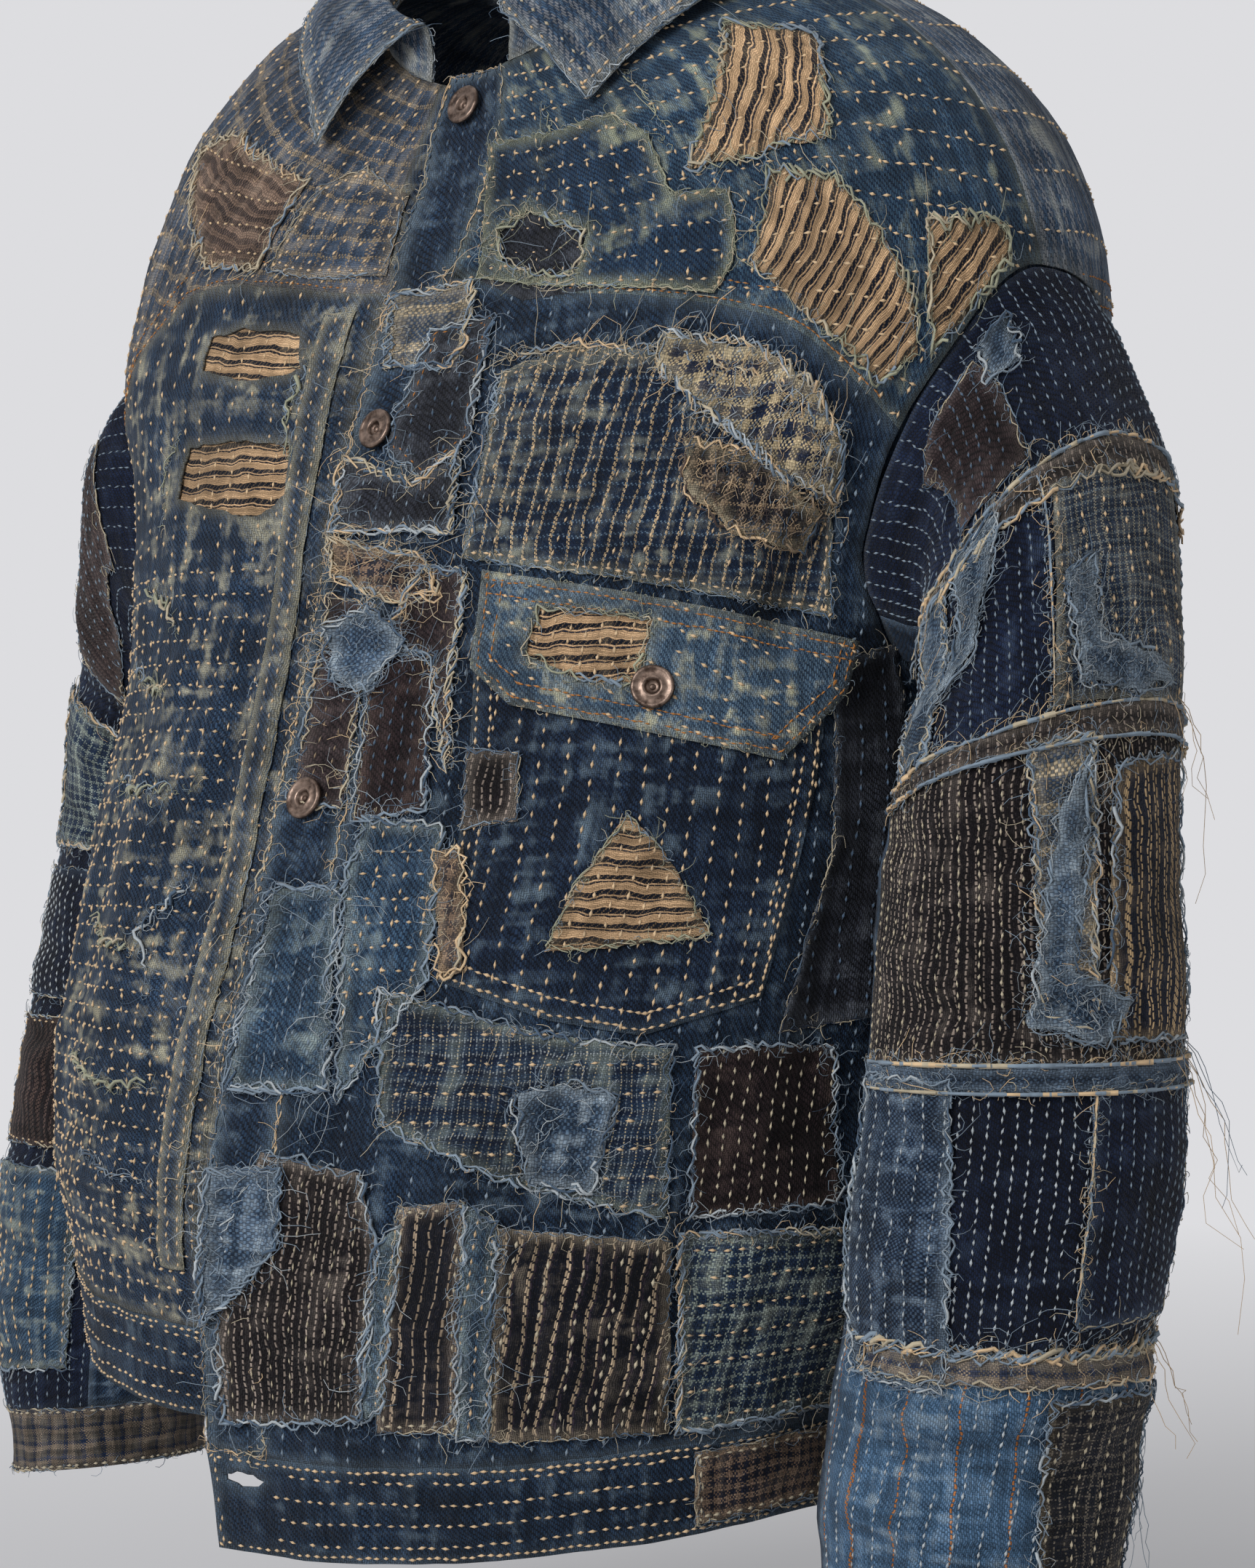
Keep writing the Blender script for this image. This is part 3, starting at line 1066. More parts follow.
class Lengths:
    """Short lengths of thread laid on the cloth, gathered for one garment area and made in one go."""

    def __init__(self, name: str, thread: Material) -> None:
        """Start an empty area, with its name and the material of its threads."""
        self.name = name
        self.thread = thread
        self.rng = np.random.default_rng(seed_of(name))
        self.stitches: list[tuple[Array, ...]] = []
        self.paths: list[tuple[Array, Array, Array]] = []

    def sew(self, cloth: Cloth) -> None:
        """Lay the stitches of a piece of cloth, each where both its ends are on it."""
        top = cloth.level + cloth.thick / 2 + STITCH_STAND
        for number, sewing in enumerate(cloth.sewing):
            rng = np.random.default_rng(seed_of(cloth.name) + number)
            middles, turns = self.plan(sewing, cloth.form.flat(sewing.zone or cloth.outline), rng)
            arm = np.stack([np.cos(turns), np.sin(turns)], -1)
            half = arm * sewing.length / 2
            keep = cloth.inside_cloth(middles - half) & cloth.inside_cloth(middles + half)
            keep &= rng.random(len(middles)) < sewing.kept
            middles, arm = middles[keep], arm[keep]
            if not len(middles):
                continue
            along = unit(cloth.form.place(middles + arm, top) - cloth.form.place(middles - arm, top))
            spreads = ((sewing.length, 1.05), (sewing.width, 1.1), (sewing.width, 1.1))
            size = np.stack([size * rng.uniform(least, 1.6, len(middles)) for size, least in spreads], -1)
            tone = np.full(len(middles), sewing.thread.value)
            place = cloth.form.place(middles, top)
            self.stitches.append((place, along, cloth.form.normal(middles), size, tone))

    def plan(self, sewing: Sewing, outline: Array, rng: np.random.Generator) -> tuple[Array, Array]:
        """Places and directions of the stitches inside an outline.

        Args:
            sewing: how they are sewn.
            outline: where, in flat millimetres.
            rng: the sewing's own source of chance.

        Returns:
            Middles, and turns in radians.
        """
        pitch = sewing.length + sewing.gap
        if sewing.kind is Rows.SEAM:
            line = walk(outline, pitch, closed=False)
            along = unit(np.gradient(line, axis=0))
            line = line + np.stack([-along[:, 1], along[:, 0]], -1) * sewing.inset
            return line + rng.normal(0, 0.12, line.shape), np.arctan2(along[:, 1], along[:, 0])
        if sewing.kind is Rows.BORDER:
            line = walk(outline, pitch)
            along = unit(np.roll(line, -1, axis=0) - np.roll(line, 1, axis=0))
            line = line - facing(line) * sewing.inset + rng.normal(0, 0.25, line.shape)
            return line, np.arctan2(along[:, 1], along[:, 0])
        angle = math.radians(sewing.angle)
        ahead = np.array([math.cos(angle), math.sin(angle)])
        aside = np.array([-math.sin(angle), math.cos(angle)])
        u, v = outline @ ahead, outline @ aside
        rows = np.arange(v.min() + sewing.spacing / 2, v.max(), sewing.spacing)
        u, v = np.meshgrid(np.arange(u.min() + pitch / 2, u.max(), pitch), rows)
        u = u + (np.arange(len(rows)) % 2)[:, None] * pitch / 2 + rng.normal(0, 0.06 * pitch, u.shape)
        v = v + smooth_noise(u, v, 55.0, 3.0) * sewing.waver + rng.normal(0, 0.22, v.shape)
        middles = u.reshape(-1, 1) * ahead + v.reshape(-1, 1) * aside
        return middles, np.full(len(middles), angle) + rng.normal(0, 0.10, len(middles))

    def fray(self, cloth: Cloth) -> None:
        """Lay the loose threads of a piece's raw edges and of the edges of its torn windows."""
        flat = cloth.form.flat
        for number, fray in enumerate(cloth.frays):
            rng = np.random.default_rng(seed_of(cloth.name) + 100 + number)
            if fray.line:
                line = walk(flat(fray.line), fray.every, closed=False)
                self.grow(cloth, fray, line, np.tile(unit(np.array(fray.toward)), (len(line), 1)), rng)
                self.roll(cloth, fray, walk(flat(fray.line), ROLL_STEP, closed=False), rng)
                continue
            outline = flat(cloth.outline)
            if fray.fill:
                low, high = outline.min(axis=0), outline.max(axis=0)
                spots = rng.uniform(low, high, (int(fray.fill * np.prod(high - low)), 2))
                spots = spots[cloth.inside_cloth(spots)]
                turn = rng.uniform(0, 2 * math.pi, len(spots))
                self.grow(cloth, fray, spots, np.stack([np.cos(turn), np.sin(turn)], -1), rng)
            line = walk(outline, fray.every)
            self.grow(cloth, fray, line, facing(line), rng)
            self.roll(cloth, fray, walk(outline, ROLL_STEP), rng)
            for window in map(flat, cloth.windows):
                line = walk(window, fray.every * TEAR_EVERY)
                wild = replace(fray, length=fray.length * TEAR_LENGTH, wild=TEAR_WILD)
                self.grow(cloth, wild, line, -facing(line), rng)
                thick = replace(fray, roll=max(fray.roll, 1.1) * 1.25)
                self.roll(cloth, thick, walk(window, ROLL_STEP), rng)

    def roll(self, cloth: Cloth, fray: Fray, line: Array, rng: np.random.Generator) -> None:
        """Lay the matted roll that a raw edge turns into, thick soft strands wound loosely round one another.

        Args:
            cloth: the cloth that frays.
            fray: how it frays.
            line: the edge, flat, at an even step.
            rng: the edge's own source of chance.
        """
        if not fray.roll or len(line) < ROLL_POINTS:
            return
        out = facing(line)
        for strand in range(fray.strands):
            starts = np.arange(0, len(line), ROLL_POINTS - 2) + rng.integers(0, 5)
            starts = starts[starts < len(line) - (ROLL_POINTS if fray.line else 0)]
            starts = starts[rng.random(len(starts)) < STRANDS_LEFT]
            count = len(starts)
            if not count:
                continue
            index = (starts[:, None] + np.arange(ROLL_POINTS)) % len(line)
            phase = rng.uniform(0, 2 * math.pi, count)[:, None] + index * ROLL_STEP / rng.uniform(1.4, 2.2)
            place = index * ROLL_STEP, index * 0.0
            phase += 2.2 * smooth_noise(*place, 11.0, strand + 6.0)
            reach = fray.roll * (0.5 + 0.9 * np.abs(smooth_noise(*place, 9.0, strand + 2.0)))
            wander = fray.roll * 1.1 * smooth_noise(*place, 16.0, strand + 4.0)
            aside = np.cos(phase) * reach + wander + rng.normal(0, 0.4, phase.shape)
            flat = (line[index] - out[index] * (0.5 - aside)[..., None]).reshape(-1, 2)
            lift = cloth.level + 0.35 * fray.roll + (np.sin(phase) * 0.5 + 0.5).ravel() * fray.roll
            path = cloth.form.place(flat, lift).reshape(*index.shape, 3)
            tones = np.array([t.value for t in fray.threads])[rng.integers(0, len(fray.threads), count)]
            self.paths.append((path, tones, fray.roll * rng.uniform(0.4, 1.15, count)))

    def grow(self, cloth: Cloth, fray: Fray, line: Array, out: Array, rng: np.random.Generator) -> None:
        """Grow curled threads from a line.

        Args:
            cloth: the cloth that frays.
            fray: how it frays.
            line: where the threads leave the cloth, flat.
            out: the way that they leave it.
            rng: the edge's own source of chance.
        """
        keep = rng.random(len(line)) < THREADS_LEFT
        line, out = line[keep], out[keep]
        count = len(line)
        heading = np.arctan2(out[:, 1], out[:, 0]) + rng.normal(0, fray.wild, count)
        heading = np.where(rng.random(count) < fray.back, heading + rng.normal(math.pi, 0.5, count), heading)
        length = fray.length * np.clip(rng.gamma(3.0, 1 / 3.0, count), 0.35, 2.6)
        bend = rng.normal(0, 1.2, count)
        here = line - out * rng.uniform(0.2, 1.6, count)[:, None] + rng.normal(0, 0.5, line.shape)
        lift = np.full(count, cloth.level + 0.1)
        rise = rng.uniform(-0.25, 0.75, count)
        points = [cloth.form.place(here, lift)]
        for step in range(FRAY_STEPS):
            heading = heading + bend + rng.normal(0, 0.3, count)
            here = here + np.stack([np.cos(heading), np.sin(heading)], -1) * (length / FRAY_STEPS)[:, None]
            arch = math.sin((step + 1) / FRAY_STEPS * math.pi * 0.75)
            raised = np.maximum(lift + rise * arch * 2 + 0.75, cloth.level * 0.2 + 0.9)
            points.append(cloth.form.place(here, raised))
        tones = np.array([t.value for t in fray.threads])[rng.integers(0, len(fray.threads), count)]
        self.paths.append((np.stack(points, 1), tones, fray.width * rng.uniform(0.75, 1.25, count)))

    def dangle(self, starts: Array, length: float, thread: Thread, sway: Array) -> None:
        """Hang long threads in the air from places on an edge.

        Args:
            starts: where they leave it, in the jacket's frame.
            length: about how long they are.
            thread: their colour.
            sway: how far their ends lie to the side.
        """
        count = len(starts)
        share = np.linspace(0, 1, DANGLE_STEPS)[None, :, None]
        long = length * self.rng.uniform(0.5, 1.35, count)[:, None, None]
        swing = self.rng.normal(0, 0.16, (count, DANGLE_STEPS, 3)).cumsum(axis=1) * long * share * 0.35
        fall = np.array([0, 0, -1.0]) * share**1.2 * long * 0.85
        points = starts[:, None] + sway * share**0.6 * long * 0.5 + fall + swing
        self.paths.append((points, np.full(count, thread.value), np.full(count, 0.4)))

    def make_stitches(self) -> None:
        """Turn the laid stitches into one piece, each a plump grain half sunk in the cloth."""
        if not self.stitches:
            return
        place, along, up, size, tone = (np.concatenate(rows) for rows in zip(*self.stitches))
        mesh = point_mesh(self.name + "_points", place)
        for key, values in (("along", along), ("up", up), ("size", size * MM), ("tone", tone)):
            store(mesh, key, values)
        numbers = (("Plumpness", "Float", 0.5), ("Sides", "Int", 4), ("Rings", "Int", 2))
        tree, add, given = growing_tree(self.name + "_stitches", numbers)
        grain = add("GeometryNodeMeshUVSphere", given["Sides"], given["Rings"], 0.5)
        across = add("Math.MULTIPLY", given["Plumpness"], 2.0)
        size = add("CombineXYZ", across, across, 1.0)
        tube = add("GeometryNodeTransform", grain, None, (0.0, math.pi / 2, 0.0), size)
        smooth = add("GeometryNodeSetShadeSmooth", tube)
        named = {
            key: add("GeometryNodeInputNamedAttribute", key, data_type="FLOAT_VECTOR")
            for key in ("along", "up", "size")
        }
        align = "FunctionNodeAlignRotationToVector"
        turned = add(align, None, 1.0, named["along"], axis="X")
        turned = add(align, turned, 1.0, named["up"], axis="Z", pivot_axis="X")
        many = add(
            "GeometryNodeInstanceOnPoints", given["Geometry"], None, smooth, Rotation=turned,
            Scale=named["size"]
        )
        self.grown("_stitches", mesh, tree, many)

    def make_fray(self) -> None:
        """Turn the gathered paths into one piece of thin round threads."""
        if not self.paths:
            return
        points, edges, tones, widths, start = [], [], [], [], 0
        for path, tone, width in self.paths:
            count, steps = path.shape[:2]
            index = start + np.arange(count * steps).reshape(count, steps)
            edges.append(np.stack([index[:, :-1].ravel(), index[:, 1:].ravel()], -1))
            points.append(path.reshape(-1, 3))
            tones.append(np.repeat(tone, steps))
            widths.append((width[:, None] * np.linspace(1.0, TAPER, steps)).ravel())
            start += count * steps
        mesh = point_mesh(self.name + "_paths", np.vstack(points))
        edge = np.vstack(edges)
        mesh.edges.add(len(edge))
        put(mesh.edges, "vertices", edge, np.int32)
        store(mesh, "tone", np.concatenate(tones))
        store(mesh, "width", np.concatenate(widths) * MM)
        mesh.update()
        tree, add, given = growing_tree(self.name + "_fray", (("Thread sides", "Int", 3),))
        lines = add("GeometryNodeMeshToCurve", given["Geometry"])
        width = add("GeometryNodeInputNamedAttribute", "width", data_type="FLOAT")
        half = add("Math.MULTIPLY", width, 0.5)
        ring = add("GeometryNodeCurvePrimitiveCircle", given["Thread sides"], Radius=1.0)
        tube = add("GeometryNodeCurveToMesh", lines, ring, Scale=half, Fill_Caps=True)
        self.grown("_fray", mesh, tree, add("GeometryNodeSetShadeSmooth", tube))

    def grown(self, suffix: str, mesh: Mesh, tree: NodeTree, threads: NodeSocket) -> None:
        """Finish a tree, run it on a mesh, and keep the plain mesh that it makes as a piece.

        Args:
            suffix: what follows the area's name in the piece's.
            mesh: what the tree starts from.
            tree: the tree.
            threads: where its threads come out.
        """
        given = tree.nodes["Group Input"].outputs
        real = add_node(tree, "GeometryNodeRealizeInstances", threads)
        dressed = add_node(tree, "GeometryNodeSetMaterial", real, None, given["Thread material"])
        add_node(tree, "NodeGroupOutput", dressed)
        seedling = new_object(self.name + suffix + "_seed", mesh)
        modifier = seedling.modifiers.new("grow", "NODES")
        modifier.node_group = tree
        for item in tree.interface.items_tree:
            if item.in_out == "INPUT" and item.name == "Thread material":
                modifier[item.identifier] = self.thread
        graph = bpy.context.evaluated_depsgraph_get()
        made = bpy.data.meshes.new_from_object(seedling.evaluated_get(graph), depsgraph=graph)
        seedling.modifiers.remove(modifier)
        bpy.data.objects.remove(seedling, do_unlink=True)
        made.name = self.name + suffix
        show(made.name, made, self.thread)
        LOG.info("%s: %d faces", made.name, len(made.polygons))


FRONT_EDGE = ((0, -7), (40, -10), (100, -8), (200, -18), (293, -16), (380, -14), (450, -10), (520, -12),
              (592, -8))
PLACKET_IN = 22.0
SHOULDER_SEAM = 82.0
YOKE_END_H = 430.0
YOKE_SEAM_FRONT_H = 504.0
BACK_YOKE_H = 465.0
YOKE_SEAM_LEFT = [(10, 497), (20, 487), (30, 480), (40, 472), (47, 466), (53, 458), (60, 447), (66, 438)]
YOKE_SEAM_RIGHT = [(350, 505), (340, 506), (330, 505), (320, 497), (310, 477), (300, 455), (294, 440)]
BACK_YOKE_SEAM = [(98, 467), (262, 467)]
LAYER_1, LAYER_2, LAYER_3 = 1.35, 2.45, 3.5
UNDER = -1.25

FINE_FRAY = Fray(length=6, every=2.8, roll=0.8, threads=(SKY, OAT, BLUE))
CREAM_FRAY = Fray(length=8, every=1.9, roll=1.4, threads=(OAT, CREAM, OAT, SKY))
OLIVE_FRAY = Fray(length=7, every=1.8, roll=1.5, threads=(OLIVE, OLIVE, OAT, SKY))
BLUE_FRAY = Fray(length=8, every=1.8, roll=1.4, threads=(SKY, BLUE, SKY, WHITE))
DARK_FRAY = Fray(length=6, every=2.4, roll=0.7, threads=(BLUE, DEEP, OAT))
LONG_BLUE = replace(BLUE_FRAY, length=13)
BLUE_TUFT = replace(BLUE_FRAY, every=1.2, fill=0.06, wild=1.2)
BLUE_FUZZ = replace(BLUE_FRAY, every=0.8, fill=0.16, wild=1.5, width=0.26)
TORN = replace(OLIVE_FRAY, roll=2, every=1.2)
TORN_BLUE = replace(BLUE_FRAY, roll=1.8, every=1.2)
RUNS = Sewing()
DOWN = replace(RUNS, spacing=13)
ALONG = replace(RUNS, angle=0, spacing=11)
TIGHT_RUNS = Sewing(spacing=6.5, length=2.4, gap=2.6, width=0.85)
NAVY_RUNS = Sewing(thread=SKY, spacing=5.2, length=2.2, gap=2.4, width=0.7)
WHITE_RUNS = Sewing(thread=WHITE, spacing=5.2, length=2.2, gap=2.4, width=0.75)
EDGE = Sewing(kind=Rows.BORDER, length=2.4, gap=3, inset=3)
OAT_EDGE = replace(EDGE, thread=OAT)
SEAM = Sewing(kind=Rows.SEAM, thread=ORANGE, length=2.3, gap=0.9, width=0.6)
TOPSTITCH = Sewing(kind=Rows.BORDER, thread=ORANGE, length=2.4, gap=0.8, inset=3, width=0.6)
# Where the bleached front is torn through: the threads, the line that they leave and the way that they lie.
TEARS = (
    (TORN, [(348, 478), (347, 455), (348, 432)], (1, 0)),
    (TORN, [(326, 445), (322, 430), (323, 405)], (-1, 0)),
    (TORN, [(318, 380), (326, 372), (330, 360)], (0.3, 1.0)),
    (TORN, [(314, 345), (322, 338), (331, 334)], (0.3, 1.0)),
    (TORN, [(316, 300), (330, 292), (342, 296)], (0, 1)),
    (TORN_BLUE, [(344, 260), (338, 232), (342, 205)], (1, 0)),
    (TORN, [(318, 236), (330, 226), (338, 224)], (0, 1)),
    (TORN, [(322, 170), (336, 158), (346, 162)], (0, 1)),
    (TORN_BLUE, [(330, 118), (340, 110), (348, 112)], (0, 1)),
)


def seams(zone: Outline, *insets: float) -> tuple[Sewing, ...]:
    """Seams sewn along a line, one at each inset."""
    return tuple(replace(SEAM, zone=zone, inset=inset) for inset in insets)


def patch(
    name: str, outline: Outline, finish: Woven, node: str = "", level: float = LAYER_1, prefix: str = "",
    **more
) -> Cloth:
    """A patch with the sizes that most of them share.

    Args:
        name: its name.
        outline: where it lies.
        finish: its cloth.
        node: the solid that it dresses, or "patch" for the one that has its own name.
        level: how far out of the panel it lies, in millimetres.
        prefix: what comes before its name in the scene.
        more: what it has of its own.

    Returns:
        The patch.
    """
    sizes = dict(step=3.5, thick=PATCH_THICK, ragged=0.9, curl=0.8, held="laid", frays=(FINE_FRAY,))
    node = "patch_" + name if node == "patch" else node
    return Cloth(prefix + name, outline, finish, node, level, **(sizes | more))


PATCH_LINES = (replace(RUNS, angle=-8, spacing=8.5, gap=5),)
ticking = partial(
    patch, node="patch", level=LAYER_1, ragged=1, curl=0.5, sewing=PATCH_LINES, frays=(OLIVE_FRAY,)
)
YOKE_PATCHES = [
    ticking("ticking_shoulder", [(57, 562), (67, 545), (58, 514), (47, 515), (37, 519), (46, 541)],
            TICKING_UPRIGHT),
    ticking("ticking_armhole", [(48, 511), (57, 503), (66, 472), (70, 452), (65, 444), (52, 464), (43, 484)],
            TICKING_LEANING),
    ticking("ticking_point", [(69, 488), (83, 486), (84, 478), (77, 465), (72, 452), (69, 468)],
            TICKING_UPRIGHT,
            ragged=0.8, curl=0.4),
    patch("yoke_torn_backing", [(8, 526), (24, 518), (26, 486), (14, 488), (8, 500)], CHARCOAL, "", 0.75,
          thick=0.6, ragged=0, curl=0, frays=()),
    patch("yoke_indigo_check",
          [(8, 558), (30, 549), (34, 536), (34, 514), (42, 509), (41, 486), (39, 476), (17, 491), (8, 500)],
          CHECK_YOKE, "patch_check_yoke", LAYER_1 + 0.35, ragged=0.6, curl=0.6,
          windows=([(10, 519), (14, 524), (22, 509), (21, 492), (16, 496), (11, 505)],),
          sewing=(replace(ALONG, angle=-8, spacing=9.5, gap=4.2), replace(DOWN, angle=84, gap=5.5)),
          frays=(replace(OLIVE_FRAY, every=2.2, roll=0.7),)),
    patch("yoke_brown_rib", [(298, 530), (310, 543), (333, 545), (334, 512), (323, 508), (311, 517)],
          RIBBED_BROWN,
          "patch_ribbed_yoke", ragged=0.6, curl=0, sewing=(replace(ALONG, angle=6, spacing=9),),
          frays=(CREAM_FRAY,)),
    patch("yoke_grey_check_right", [(336, 545), (343, 556), (354, 546), (355, 512), (344, 510), (336, 512)],
          GREY_YOKE, "patch_check_yoke_right", ragged=0.6, curl=0,
          sewing=(replace(RUNS, angle=60, spacing=8), EDGE)),
]
PLEAT = replace(BLEACHED, name="bleached_indigo_pleat")
FUZZED = replace(
    CHEST_GAUZE, name="brown_cream_fuzzed_gauze", dark="1d191d", mid="3f3735",
    warp=((0.0, "1c1f2b"), (0.6, "8b7765")), weft=((0.0, "1b1a22"), (0.7, "a08a70")),
)
